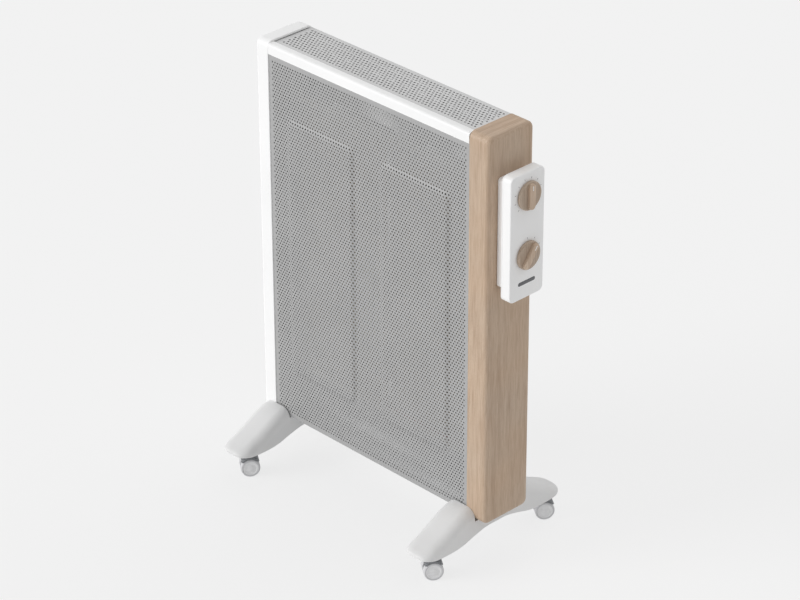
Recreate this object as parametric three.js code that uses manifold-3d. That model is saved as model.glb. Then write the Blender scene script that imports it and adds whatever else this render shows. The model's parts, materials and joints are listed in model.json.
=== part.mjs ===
// A free-standing mica panel heater: a slim steel casing with perforated faces between two moulded
// end caps, mica heating boards inside, a control box on the right-hand cap, and two hollow cross
// feet, each on two twin-wheel castors.
// Axes: X runs along the width towards the controls, Y to the back, Z up from the floor.
// Every length is in millimetres.
import * as THREE from 'three';
import { mergeVertices } from 'three/addons/utils/BufferGeometryUtils.js';
import Module from 'manifold-3d';

const wasm = await Module();
wasm.setup();

// Casing between the feet and the controls
const bodyWidth = 440;
const bodyDepth = 83;
const capBottom = 69.5;
const capHeight = 578;
const leftCapWidth = 25;
const rightCapWidth = 35;
const capSideRadius = 10;
const capFaceRadius = 6.5;
const capWall = 2.5;

// Clearance between pieces that touch, and how far a cut runs past the face that it opens
const clearance = 0.3;
const overrun = 2;

// Front and rear grilles: a sheet with folded edges and two raised fields
const sheetThickness = 0.8;
const grilleRecess = 1.5;
const grilleLift = 5;
const flangeLength = 14;
const fieldSideMargin = 33;
const fieldGap = 46;
const fieldBottomMargin = 75;
const fieldTopMargin = 82;
const fieldRise = 3;
const fieldSlope = 9;
const fieldCorner = 14;

// Coarse openings that stand for the fine mesh of the front and rear grilles
const meshColumns = 12;
const meshRows = 12;
const meshOpeningWidth = 16;
const meshOpeningHeight = 26;
const meshMargin = 10;

// Top of the casing: front rail and slotted top grille
const railHeight = 15;
const railDepth = 12;
const railDrop = 2.5;
const railWall = 1.6;
const railRadius = 4;
const topGrilleDrop = 1.2;
const topSlotMargin = 7;

// Air slots of the top grille and the bottom tray
const slotWidth = 8;
const slotPitch = 16;
const slotEndMargin = 12;
const traySlotMargin = 16;

// Upright plates that close the casing's ends
const plateThickness = 1.2;
const plateFlange = 8;
const plateHoleRadius = 7;
const cutoutHoleRadius = 4;

// Heating element: mica boards held in two grooved rails, with a flat ribbon on each board
const boardThickness = 0.8;
const boardGap = 6;
const railBarHeight = 10;
const railBarDepth = 8;
const railGroove = 5;
const elementOverlap = 6;
const ribbonWidth = 3;
const ribbonThickness = 0.4;
const ribbonMargin = 8;
const ribbonRuns = 12;
const boardSkirt = 6;

// Small parts on the right-hand plate
const cutoutDepth = 8;
const cutoutWidth = 14;
const cutoutHeight = 20;
const cutoutLift = 12;
const blockDepth = 14;
const blockWidth = 28;
const blockHeight = 30;
const blockLevel = 280;
const blockGroove = 4;
const blockGrooves = 3;

// Tip-over switch: a bob that hangs on a pin in a bracket
const bracketWall = 2;
const bracketWidth = 24;
const bracketHeight = 47;
const bracketReach = 18;
const bracketLift = 17.5;
const earHeight = 16;
const pinDrop = 9;
const pinRadius = 1.5;
const pendulumThickness = 6;
const pendulumEye = 4.5;
const pendulumRod = 4;
const pendulumLength = 26;
const pendulumBobRadius = 8;

// Control box: a narrow base with a wider fascia over it, hung a little below the cap's top
const fasciaInset = 49.5;
const fasciaWidth = 62;
const fasciaHeight = 181;
const fasciaDepth = 14.2;
const fasciaRadius = 8;
const fasciaEdge = 2;
const baseWidth = 50;
const baseDepth = 15;
const baseRadius = 4;
const baseTopInset = 10;
const baseBottomInset = 14;
const controlWall = 2.5;
const flangeThickness = 2;
const wireHoleRadius = 9;

// Knobs, shafts and the switches behind them
const knobRadius = 20;
const knobDisc = 5;
const knobEdge = 1.5;
const gripHeight = 4.5;
const gripWidth = 10;
const gripTaper = 1.5;
const knobBoreDepth = 5;
const powerKnobTurn = -35;
const shaftRadius = 3;
const shaftInside = 12;
const bushRadius = 5;
const thermostatSize = 30;
const thermostatDepth = 20;
const powerSwitchSize = 27;
const powerSwitchDepth = 18;

// Signal window and cord gland
const windowWidth = 32;
const windowHeight = 6;
const windowLip = 1.5;
const glandRadius = 4.2;
const glandBore = 3.3;
const glandFlange = 4.8;
const glandFlangeThickness = 2.5;
const glandInset = 7.5;

// Wires
const wireRadius = 1;
const wireStep = 11;
const wireSides = 6;
const wireBend = 5;

// Cross feet: hoods that reach out in front of and behind the casing
const footWidth = 50;
const footReach = 132;
const footTop = 87;
const footWall = 2.6;
const footShoulder = 15;
const leftFootInset = 4;
const rightFootInset = 18;

// Castors: twin wheels on one axle, carried by a web with a hood over the wheels and a swivel stem.
// At rest each one is turned about its stem by the angle given in degrees.
const wheelRadius = 14;
const wheelThickness = 9.5;
const wheelEdge = 1.8;
const castorWidth = 25;
const castorTrail = 7.5;
const castorTurn = 34;
const castorInset = 24;
const axleRadius = 2;
const axleBoss = 5;
const hubWall = 3;
const hubRadius = 8;
const hubDish = 1.2;
const hoodGap = 0.8;
const hoodWall = 2;
const hoodSpan = 96;
const neckRadius = 7;
const neckHeight = 11;
const webFront = 5;
const webBack = 6;
const stemRadius = 4;
const stemLength = 8.5;
const socketRadius = 7.5;

// Foot screws
const screwRadius = 2;
const screwHeadRadius = 4.5;
const screwHeadHeight = 3;
const screwReach = 5;
const screwSpacing = 28;
const screwInset = 8;

// Facets of round shapes
const arcSteps = 3;
const slotSteps = 1;
const footSteps = 4;
const hoodSteps = 5;
const wheelSides = 20;
const knobSides = 28;
const roundSides = 16;

// Outline of a foot from its tip to its middle, as shares of its reach, top height and width:
// distance from the middle, height of the roof, height of the lower edge, width
const footOutlineShares = [
  [1.000, 0.523, 0.477, 0.360],
  [0.985, 0.543, 0.474, 0.620],
  [0.955, 0.568, 0.469, 0.800],
  [0.915, 0.593, 0.462, 0.920],
  [0.860, 0.632, 0.453, 0.985],
  [0.742, 0.718, 0.444, 1.000],
  [0.600, 0.839, 0.446, 1.000],
  [0.470, 0.940, 0.471, 1.000],
  [0.340, 1.000, 0.529, 1.000],
  [0.160, 1.000, 0.592, 1.000],
  [0.000, 1.000, 0.598, 1.000],
];
const footShoulderShare = 0.8;

// Heights of the knobs and the signal window above the fascia's lower end, as shares of its height
const thermostatShare = 0.8232;
const powerShare = 0.3481;
const windowShare = 0.1300;

// Places that follow from the sizes above
const rightEnd = bodyWidth / 2;
const leftEnd = -rightEnd;
const frontFace = -bodyDepth / 2;
const capTop = capBottom + capHeight;
const capMiddle = capBottom + capHeight / 2;
const grilleLeft = leftEnd + leftCapWidth + clearance;
const grilleRight = rightEnd - rightCapWidth - clearance;
const grilleWidth = grilleRight - grilleLeft;
const grilleMiddle = (grilleLeft + grilleRight) / 2;
const grilleFront = frontFace + grilleRecess;
const grilleBottom = capBottom + grilleLift;
const railTop = capTop - railDrop;
const railBottom = railTop - railHeight;
const topGrilleTop = railTop - topGrilleDrop;
const pocketTop = topGrilleTop + clearance;
const grilleTop = railBottom - clearance;
const insideFront = grilleFront + sheetThickness + clearance;
const trayBottom = grilleBottom + sheetThickness + clearance;
const trayTop = trayBottom + sheetThickness;
const plateBottom = trayTop + clearance;
const plateTop = grilleTop - sheetThickness - clearance;
const leftPlateInside = grilleLeft + plateThickness;
const rightPlateInside = grilleRight - plateThickness;
const wiringFace = grilleRight + clearance;
const fieldWidth = (grilleWidth - 2 * fieldSideMargin - fieldGap) / 2;
const fieldOffset = (fieldGap + fieldWidth) / 2;
const fieldBottom = grilleBottom + fieldBottomMargin;
const fieldTop = grilleTop - fieldTopMargin;
const lowerRailTop = fieldBottom - elementOverlap;
const upperRailBottom = fieldTop + elementOverlap;
const boardBottom = lowerRailTop - railGroove + clearance;
const boardTop = upperRailBottom + railGroove - clearance;
const boardWidth = (rightPlateInside - leftPlateInside - 2 * boardGap) / 2;
const boardOffset = (boardWidth + boardGap) / 2;
const boardsMiddle = (leftPlateInside + rightPlateInside) / 2;
const ribbonFront = -boardThickness / 2 - clearance - ribbonThickness;
const ribbonLevel = lowerRailTop + boardSkirt + ribbonWidth;
const wirePlane = ribbonFront - clearance - wireRadius;
const cutoutBottom = upperRailBottom + railBarHeight + cutoutLift;
const cutoutHoleLevel = cutoutBottom + cutoutHeight + cutoutLift;
const bracketBottom = capBottom + bracketLift;
const pinLevel = bracketBottom + bracketHeight - pinDrop;
const pendulumBack = wiringFace + (bracketReach - pendulumThickness) / 2;
const baseBack = rightEnd + clearance;
const flangeFront = baseBack + baseDepth;
const fasciaBack = flangeFront + clearance;
const fasciaFront = fasciaBack + fasciaDepth;
const fasciaTop = capTop - fasciaInset;
const fasciaBottom = fasciaTop - fasciaHeight;
const fasciaMiddle = (fasciaTop + fasciaBottom) / 2;
const fasciaInside = fasciaFront - controlWall;
const baseTop = fasciaTop - baseTopInset;
const baseBottom = fasciaBottom + baseBottomInset;
const baseHeight = baseTop - baseBottom;
const baseMiddle = (baseTop + baseBottom) / 2;
const thermostatLevel = fasciaBottom + thermostatShare * fasciaHeight;
const powerLevel = fasciaBottom + powerShare * fasciaHeight;
const windowLevel = fasciaBottom + windowShare * fasciaHeight;
const wireHoleLevel = (thermostatLevel + powerLevel) / 2;
const knobBack = fasciaFront + clearance;
const knobFront = knobBack + knobDisc + gripHeight;
const axleHeight = wheelRadius * Math.cos(Math.PI / wheelSides);
const hoodInner = wheelRadius + hoodGap;
const neckBottom = axleHeight + hoodInner;
const neckTop = neckBottom + neckHeight;
const socketBottom = neckTop + clearance;
const footPadTop = grilleBottom - clearance;
const footPadReach = -(grilleFront + flangeLength) - clearance;
const footCeiling = capBottom - clearance;
const castorReach = footReach - castorInset;
const footSides = {
  left: { middle: leftEnd + leftFootInset + footWidth / 2, screw: grilleLeft + screwInset },
  right: { middle: rightEnd - rightFootInset - footWidth / 2, screw: grilleRight - screwInset },
};

// Finishes
const finishes = {
  greyPaint: [0xa1a1a1, 0.55, 0.3],
  lightGreyPaint: [0xb7b7b7, 0.5, 0.3],
  whitePlastic: [0xf4f4f3, 0.45, 0],
  woodFoil: [0xc9b49b, 0.6, 0],
  knobWood: [0xa39384, 0.6, 0],
  footPlastic: [0xdcdcdc, 0.5, 0],
  wheelPlastic: [0xa6a6a6, 0.55, 0],
  castorPlastic: [0x808284, 0.5, 0],
  darkPlastic: [0x33363a, 0.5, 0],
  zincSteel: [0xb4b8bc, 0.35, 0.9],
  mica: [0xb9a98c, 0.7, 0],
  ribbonAlloy: [0x8d8f92, 0.4, 0.9],
  ceramic: [0xe6e0d2, 0.6, 0],
  smokedLens: [0x6f7073, 0.2, 0],
  redWire: [0xb23a30, 0.5, 0],
  blueWire: [0x3a5fa8, 0.5, 0],
  brownWire: [0x6b452c, 0.5, 0],
};

function piece(name, geometry, finish) {
  const [color, roughness, metalness] = finishes[finish];
  const mesh = new THREE.Mesh(geometry, new THREE.MeshStandardMaterial({ color, roughness, metalness }));
  mesh.name = name;
  return mesh;
}

// Turns that stand a drawn outline up: its third direction becomes X, minus Y or Z
const unitX = new THREE.Vector3(1, 0, 0);
const unitY = new THREE.Vector3(0, 1, 0);
const unitZ = new THREE.Vector3(0, 0, 1);
const stand = {
  X: new THREE.Matrix4().makeBasis(unitY, unitZ, unitX),
  Y: new THREE.Matrix4().makeBasis(unitX, unitZ, unitY.clone().negate()),
  Z: new THREE.Matrix4(),
};

// Straight bar of a drawn outline between two places on an axis
function bar(axis, outline, from, to) {
  const shape = Array.isArray(outline) ? new THREE.Shape(outline) : outline;
  const geometry = new THREE.ExtrudeGeometry(shape, { depth: to - from, bevelEnabled: false });
  geometry.applyMatrix4(stand[axis]);
  const start = axis === 'Y' ? to : from;
  const shift = { X: unitX, Y: unitY, Z: unitZ }[axis];
  return geometry.translate(shift.x * start, shift.y * start, shift.z * start);
}

function block(x0, x1, y0, y1, z0, z1) {
  const geometry = new THREE.BoxGeometry(x1 - x0, y1 - y0, z1 - z0);
  return geometry.translate((x0 + x1) / 2, (y0 + y1) / 2, (z0 + z1) / 2);
}

// Anticlockwise rounded rectangle
function roundedOutline(width, height, radius, x = 0, y = 0, steps = arcSteps) {
  const points = [];
  const corners = [[1, -1], [1, 1], [-1, 1], [-1, -1]];
  corners.forEach(([sideX, sideY], corner) => {
    const centreX = x + sideX * (width / 2 - radius);
    const centreY = y + sideY * (height / 2 - radius);
    for (let step = 0; step <= steps; step++) {
      const angle = (corner - 1 + step / steps) * Math.PI / 2;
      points.push(new THREE.Vector2(
        centreX + radius * Math.cos(angle), centreY + radius * Math.sin(angle)));
    }
  });
  return points;
}

function circleOutline(radius, x = 0, y = 0, sides = roundSides) {
  return Array.from({ length: sides }, (unused, side) => {
    const angle = (side + 0.5) * 2 * Math.PI / sides;
    return new THREE.Vector2(x + radius * Math.cos(angle), y + radius * Math.sin(angle));
  });
}

function polygon(...corners) {
  return corners.map(([x, y]) => new THREE.Vector2(x, y));
}

// Round solid about Z from a half section of [radius, height] points, drawn with the height rising
function turned(section, sides = roundSides) {
  const points = section.map(([radius, height]) => new THREE.Vector2(radius, height));
  const geometry = new THREE.LatheGeometry(points, sides, Math.PI / sides);
  return geometry.rotateX(Math.PI / 2);
}

// Closed surface through rings of points that run the same way, with flat ends
function skin(rings) {
  const count = rings[0].length;
  const last = (rings.length - 1) * count;
  const faces = [];
  for (let start = 0; start < last; start += count) {
    for (let i = 0; i < count; i++) {
      const a = start + i;
      const b = start + (i + 1) % count;
      faces.push(a, b, b + count, a, b + count, a + count);
    }
  }
  for (let i = 1; i < count - 1; i++) {
    faces.push(0, i + 1, i, last, last + i, last + i + 1);
  }
  const geometry = new THREE.BufferGeometry().setFromPoints(rings.flat());
  geometry.setIndex(faces);
  return geometry;
}

function toSolid(geometry) {
  const bare = geometry.clone();
  bare.deleteAttribute('normal');
  bare.deleteAttribute('uv');
  const merged = mergeVertices(bare);
  const vertProperties = new Float32Array(merged.attributes.position.array);
  const triVerts = new Uint32Array(merged.index.array);
  return new wasm.Manifold(new wasm.Mesh({ numProp: 3, vertProperties, triVerts }));
}

function toGeometry(solid) {
  const { vertProperties, triVerts } = solid.getMesh();
  const geometry = new THREE.BufferGeometry();
  geometry.setAttribute('position', new THREE.BufferAttribute(vertProperties, 3));
  geometry.setIndex(new THREE.BufferAttribute(triVerts, 1));
  return geometry;
}

function join(...geometries) {
  return toGeometry(geometries.map(toSolid).reduce((whole, next) => whole.add(next)));
}

function cut(geometry, ...tools) {
  return toGeometry(tools.map(toSolid).reduce((rest, tool) => rest.subtract(tool), toSolid(geometry)));
}

function common(geometry, other) {
  return toGeometry(toSolid(geometry).intersect(toSolid(other)));
}

// Block with rounded long edges whose end towards +X is rounded off
function roundedEnd(width, height, radius, edge, back, front, middle) {
  const ring = (x, inset) => roundedOutline(
    width - 2 * inset, height - 2 * inset, radius - inset, 0, middle)
    .map((point) => new THREE.Vector3(x, point.x, point.y));
  const rings = [ring(back, 0)];
  for (let step = 0; step <= arcSteps; step++) {
    const angle = step / arcSteps * Math.PI / 2;
    rings.push(ring(front - edge + edge * Math.sin(angle), edge * (1 - Math.cos(angle))));
  }
  return skin(rings);
}

// Hollow end cap, drawn for the right-hand end with its outer face at zero
function capShell(width) {
  const shell = roundedEnd(bodyDepth, capHeight, capSideRadius, capFaceRadius, -width, 0, capMiddle);
  const floor = capBottom + capWall;
  const pocketOutline = roundedOutline(
    bodyDepth - 2 * capWall, pocketTop - floor, capSideRadius - capWall, 0, (pocketTop + floor) / 2);
  return cut(shell, bar('X', pocketOutline, -width - overrun, -capWall));
}

function leftEndCap() {
  const cap = piece('left_end_cap', capShell(leftCapWidth), 'whitePlastic');
  cap.rotation.z = Math.PI;
  cap.position.x = leftEnd;
  return cap;
}

function rightEndCap() {
  const wireHole = bar('X', circleOutline(wireHoleRadius, 0, wireHoleLevel), -capWall - overrun, overrun);
  const cap = piece('right_end_cap', cut(capShell(rightCapWidth), wireHole), 'woodFoil');
  cap.position.x = rightEnd;
  return cap;
}

// Raised field: a low frustum that rises towards the viewer from a given plane
function raisedField(plane, middle) {
  const height = fieldTop - fieldBottom;
  const level = (fieldTop + fieldBottom) / 2;
  const ring = (y, inset) => roundedOutline(
    fieldWidth - 2 * inset, height - 2 * inset, fieldCorner - inset, middle, level)
    .map((point) => new THREE.Vector3(point.x, y, point.y));
  return skin([ring(plane + sheetThickness / 2, 0), ring(plane, 0), ring(plane - fieldRise, fieldSlope)]);
}

// Sheet with its upper and lower edges folded back, drawn about its own middle
function grille() {
  const back = grilleFront + sheetThickness;
  const end = grilleFront + flangeLength;
  const profile = polygon(
    [grilleFront, grilleBottom], [end, grilleBottom], [end, grilleBottom + sheetThickness],
    [back, grilleBottom + sheetThickness], [back, grilleTop - sheetThickness],
    [end, grilleTop - sheetThickness], [end, grilleTop], [grilleFront, grilleTop]);
  const sheet = bar('X', profile, -grilleWidth / 2, grilleWidth / 2);
  const middles = [-fieldOffset, fieldOffset];
  const raised = join(sheet, ...middles.map((middle) => raisedField(grilleFront, middle)));
  return cut(raised, ...middles.map((middle) => raisedField(back, middle)), ...meshOpenings());
}

// Plain grid of openings through the face of a grille, about its own middle
function meshOpenings() {
  const columnPitch = (grilleWidth - 2 * meshMargin) / meshColumns;
  const rowPitch = (grilleTop - grilleBottom - 2 * meshMargin) / meshRows;
  const openings = [];
  for (let column = 0; column < meshColumns; column++) {
    const x = (column - (meshColumns - 1) / 2) * columnPitch;
    for (let row = 0; row < meshRows; row++) {
      const z = (grilleTop + grilleBottom) / 2 + (row - (meshRows - 1) / 2) * rowPitch;
      openings.push(block(x - meshOpeningWidth / 2, x + meshOpeningWidth / 2,
        grilleFront - fieldRise - overrun, grilleFront + sheetThickness + overrun,
        z - meshOpeningHeight / 2, z + meshOpeningHeight / 2));
    }
  }
  return openings;
}

function grilles() {
  const front = piece('front_grille', grille(), 'greyPaint');
  const rear = piece('rear_grille', grille(), 'greyPaint');
  rear.rotation.z = Math.PI;
  front.position.x = grilleMiddle;
  rear.position.x = grilleMiddle;
  return [front, rear];
}

// Row of cross slots through a flat sheet
function slotRow(front, back, bottom, top) {
  const count = Math.floor((grilleWidth - 2 * slotEndMargin) / slotPitch);
  return Array.from({ length: count }, (unused, index) => {
    const middle = grilleMiddle + (index - (count - 1) / 2) * slotPitch;
    const outline = roundedOutline(
      slotWidth, back - front, slotWidth / 3, middle, (front + back) / 2, slotSteps);
    return bar('Z', outline, bottom - overrun, top + overrun);
  });
}

function topGrille() {
  const front = frontFace + railDepth + clearance;
  const back = -grilleFront;
  const top = topGrilleTop;
  const under = top - sheetThickness;
  const profile = polygon(
    [front, railBottom], [front + sheetThickness, railBottom], [front + sheetThickness, under],
    [back - sheetThickness, under], [back - sheetThickness, railBottom], [back, railBottom],
    [back, top], [front, top]);
  const sheet = bar('X', profile, grilleLeft, grilleRight);
  const slots = slotRow(front + topSlotMargin, back - topSlotMargin, under, top);
  return piece('top_grille', cut(sheet, ...slots), 'lightGreyPaint');
}

function frontTopRail() {
  const back = frontFace + railDepth;
  const outline = new THREE.Shape();
  outline.moveTo(frontFace, railBottom);
  outline.lineTo(frontFace + railWall, railBottom);
  outline.lineTo(frontFace + railWall, railTop - railRadius);
  outline.lineTo(frontFace + railRadius, railTop - railWall);
  outline.lineTo(back - railWall, railTop - railWall);
  outline.lineTo(back - railWall, railBottom);
  outline.lineTo(back, railBottom);
  outline.lineTo(back, railTop);
  for (let step = 0; step <= arcSteps; step++) {
    const angle = (1 + step / arcSteps) * Math.PI / 2;
    outline.lineTo(
      frontFace + railRadius + railRadius * Math.cos(angle),
      railTop - railRadius + railRadius * Math.sin(angle));
  }
  return piece('front_top_rail', bar('X', outline, grilleLeft, grilleRight), 'whitePlastic');
}

function screwHole(side, y, bottom, top) {
  return bar('Z', circleOutline(screwRadius + clearance, footSides[side].screw, y), bottom, top);
}

function bottomTray() {
  const sheet = block(grilleLeft, grilleRight, insideFront, -insideFront, trayBottom, trayTop);
  const leftEdge = footSides.left.screw + slotWidth;
  const rightEdge = footSides.right.screw - slotWidth;
  const slots = slotRow(insideFront + traySlotMargin, -insideFront - traySlotMargin, trayBottom, trayTop)
    .filter((slot) => {
      slot.computeBoundingBox();
      return slot.boundingBox.min.x > leftEdge && slot.boundingBox.max.x < rightEdge;
    });
  const holes = ['left', 'right'].flatMap((side) => [-1, 1].map((end) =>
    screwHole(side, end * screwSpacing / 2, trayBottom - overrun, trayTop + overrun)));
  return piece('bottom_tray', cut(sheet, ...slots, ...holes), 'zincSteel');
}

// Upright channel that closes one end of the casing; inward is the side that its flanges point to
function framePlate(outside, inward) {
  const inside = outside + inward * plateThickness;
  const tip = outside + inward * plateFlange;
  const edge = insideFront;
  const lip = edge + plateThickness;
  const corners = [
    [outside, edge], [tip, edge], [tip, lip], [inside, lip],
    [inside, -lip], [tip, -lip], [tip, -edge], [outside, -edge]];
  return bar('Z', polygon(...corners), plateBottom, plateTop);
}

function framePlates() {
  const wireLevel = lowerRailTop + boardSkirt - wireRadius;
  const holes = [
    bar('X', circleOutline(plateHoleRadius, wirePlane, wireLevel),
      rightPlateInside - overrun, grilleRight + overrun),
    bar('X', circleOutline(cutoutHoleRadius, 0, cutoutHoleLevel),
      rightPlateInside - overrun, grilleRight + overrun)];
  return [
    piece('left_frame_plate', framePlate(grilleLeft, 1), 'zincSteel'),
    piece('right_frame_plate', cut(framePlate(grilleRight, -1), ...holes), 'zincSteel')];
}

// Grooved bar that holds one edge of the boards; the groove opens towards them
function elementRail(name, face, outer) {
  const groove = boardThickness / 2 + clearance;
  const floor = face + Math.sign(outer - face) * railGroove;
  const side = railBarDepth / 2;
  const profile = polygon(
    [-side, outer], [side, outer], [side, face], [groove, face],
    [groove, floor], [-groove, floor], [-groove, face], [-side, face]);
  const geometry = bar('X', profile, leftPlateInside + clearance, rightPlateInside - clearance);
  return piece(name, geometry, 'ceramic');
}

// Strip of even width along a line of right-angled turns
function stripOutline(line, width) {
  const left = [];
  const right = [];
  line.forEach((point, index) => {
    const before = line[Math.max(index - 1, 0)];
    const after = line[Math.min(index + 1, line.length - 1)];
    const normals = [[before, point], [point, after]].filter(([from, to]) => from !== to)
      .map(([from, to]) => to.clone().sub(from).normalize())
      .map((along) => new THREE.Vector2(-along.y, along.x));
    const offset = normals.reduce((sum, normal) => sum.add(normal), new THREE.Vector2())
      .multiplyScalar(width / 2);
    left.push(point.clone().add(offset));
    right.unshift(point.clone().sub(offset));
  });
  return [...right.reverse(), ...left.reverse()];
}

function ribbonLine(middle) {
  const reach = boardWidth / 2 - ribbonMargin;
  const pitch = (upperRailBottom - boardSkirt - ribbonLevel) / (ribbonRuns - 1);
  const line = [];
  for (let run = 0; run < ribbonRuns; run++) {
    const from = run % 2 === 0 ? 1 : -1;
    line.push(new THREE.Vector2(middle + from * reach, ribbonLevel + run * pitch));
    line.push(new THREE.Vector2(middle - from * reach, ribbonLevel + run * pitch));
  }
  return line;
}

function heatingElement() {
  const pieces = [
    elementRail('element_rail_lower', lowerRailTop, lowerRailTop - railBarHeight),
    elementRail('element_rail_upper', upperRailBottom, upperRailBottom + railBarHeight)];
  for (const [side, sign] of [['left', -1], ['right', 1]]) {
    const middle = boardsMiddle + sign * boardOffset;
    const board = block(middle - boardWidth / 2, middle + boardWidth / 2,
      -boardThickness / 2, boardThickness / 2, boardBottom, boardTop);
    const outline = stripOutline(ribbonLine(middle), ribbonWidth);
    const ribbon = bar('Y', outline, ribbonFront, ribbonFront + ribbonThickness);
    pieces.push(piece(`mica_board_${side}`, board, 'mica'));
    pieces.push(piece(`heating_ribbon_${side}`, ribbon, 'ribbonAlloy'));
  }
  return pieces;
}

function thermalCutout() {
  const face = rightPlateInside - clearance;
  const can = bar('X', circleOutline(cutoutWidth / 2, 0, cutoutBottom + cutoutHeight / 2),
    face - cutoutDepth, face);
  const tab = block(face - plateThickness, face, -cutoutWidth / 4, cutoutWidth / 4,
    cutoutBottom, cutoutBottom + cutoutHeight);
  return piece('thermal_cutout', join(can, tab), 'darkPlastic');
}

function terminalBlock() {
  const front = wiringFace + blockDepth;
  const top = blockLevel + blockHeight;
  const body = block(wiringFace, front, -blockWidth / 2, blockWidth / 2, blockLevel, top);
  const pitch = blockWidth / (blockGrooves + 1);
  const grooves = Array.from({ length: blockGrooves }, (unused, index) => {
    const y = (index + 1) * pitch - blockWidth / 2;
    return block(front - blockGroove, front + overrun, y - blockGroove / 4, y + blockGroove / 4,
      blockLevel - overrun, top + overrun);
  });
  return piece('terminal_block', cut(body, ...grooves), 'ceramic');
}

function tipSwitch() {
  const front = wiringFace + bracketReach;
  const top = bracketBottom + bracketHeight;
  const side = bracketWidth / 2;
  const bracket = join(
    block(wiringFace, wiringFace + bracketWall, -side, side, bracketBottom, top),
    block(wiringFace, front, -side, side, top - bracketWall, top),
    block(front - bracketWall, front, -side, side, top - earHeight, top),
    bar('X', circleOutline(pinRadius, 0, pinLevel), wiringFace + bracketWall / 2, front - bracketWall / 2));
  const weightLevel = pinLevel - pendulumLength;
  const face = pendulumBack + pendulumThickness;
  const pendulum = cut(
    join(
      bar('X', circleOutline(pendulumEye, 0, pinLevel), pendulumBack, face),
      block(pendulumBack, face, -pendulumRod / 2, pendulumRod / 2, weightLevel, pinLevel),
      bar('X', circleOutline(pendulumBobRadius, 0, weightLevel), pendulumBack, face)),
    bar('X', circleOutline(pinRadius + clearance, 0, pinLevel),
      pendulumBack - overrun, face + overrun));
  return [
    piece('tip_switch_bracket', bracket, 'zincSteel'),
    piece('tip_switch_pendulum', pendulum, 'zincSteel')];
}

function controlBase() {
  const flange = roundedOutline(fasciaWidth, fasciaHeight, fasciaRadius, 0, fasciaMiddle);
  const body = roundedOutline(baseWidth, baseHeight, baseRadius, 0, baseMiddle);
  const pocket = roundedOutline(baseWidth - 2 * controlWall, baseHeight - 2 * controlWall,
    baseRadius - controlWall / 2, 0, baseMiddle);
  const whole = join(
    bar('X', body, baseBack, flangeFront),
    bar('X', flange, flangeFront - flangeThickness, flangeFront));
  const geometry = cut(whole,
    bar('X', pocket, baseBack + controlWall, flangeFront + overrun),
    bar('X', circleOutline(wireHoleRadius, 0, wireHoleLevel), baseBack - overrun, flangeFront),
    bar('Z', circleOutline(glandRadius + clearance, baseBack + glandInset, 0),
      baseBottom - overrun, baseBottom + controlWall + overrun));
  return piece('control_base', geometry, 'whitePlastic');
}

function controlFascia() {
  const shell = roundedEnd(fasciaWidth, fasciaHeight, fasciaRadius, fasciaEdge,
    fasciaBack, fasciaFront, fasciaMiddle);
  const pocket = roundedOutline(fasciaWidth - 2 * controlWall, fasciaHeight - 2 * controlWall,
    fasciaRadius - controlWall, 0, fasciaMiddle);
  const through = (outline) => bar('X', outline, fasciaInside - overrun, fasciaFront + overrun);
  const geometry = cut(shell,
    bar('X', pocket, fasciaBack - overrun, fasciaInside),
    through(circleOutline(bushRadius + clearance, 0, thermostatLevel)),
    through(circleOutline(bushRadius + clearance, 0, powerLevel)),
    through(roundedOutline(windowWidth + 2 * clearance, windowHeight + 2 * clearance,
      windowHeight / 2, 0, windowLevel)));
  return piece('control_fascia', geometry, 'whitePlastic');
}

function signalWindow() {
  const lens = roundedOutline(windowWidth, windowHeight, windowHeight / 2 - clearance, 0, windowLevel);
  const lip = roundedOutline(windowWidth + 2 * windowLip, windowHeight + 2 * windowLip,
    windowHeight / 2, 0, windowLevel);
  const back = fasciaInside - clearance;
  return piece('signal_window', join(
    bar('X', lens, back - windowLip, fasciaFront),
    bar('X', lip, back - windowLip, back)), 'smokedLens');
}

// Bushing with a flange on each side of the base's lower wall
function cordGland() {
  const wall = controlWall + 2 * clearance;
  const top = wall + clearance + wireRadius;
  const geometry = turned([
    [glandBore, -glandFlangeThickness], [glandFlange, -glandFlangeThickness], [glandFlange, 0],
    [glandRadius, 0], [glandRadius, wall], [glandFlange, wall], [glandFlange, top],
    [glandBore, top], [glandBore, -glandFlangeThickness]]);
  geometry.translate(baseBack + glandInset, 0, baseBottom - clearance);
  return piece('cord_gland', geometry, 'darkPlastic');
}

// Switch body behind the fascia, with a threaded bush that passes through it
function switchBody(name, size, depth, level) {
  const front = fasciaInside - clearance;
  const body = join(
    block(front - depth, front, -size / 2, size / 2, level - size / 2, level + size / 2),
    bar('X', circleOutline(bushRadius, 0, level), front - overrun, fasciaFront));
  const bore = bar('X', circleOutline(shaftRadius + clearance, 0, level),
    front - shaftInside - clearance, fasciaFront + overrun);
  return piece(name, cut(body, bore), 'darkPlastic');
}

function shaft(name, level) {
  const back = fasciaInside - clearance - shaftInside;
  const front = knobBack + knobBoreDepth - clearance;
  return piece(name, bar('X', circleOutline(shaftRadius, 0, level), back, front), 'zincSteel');
}

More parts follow.
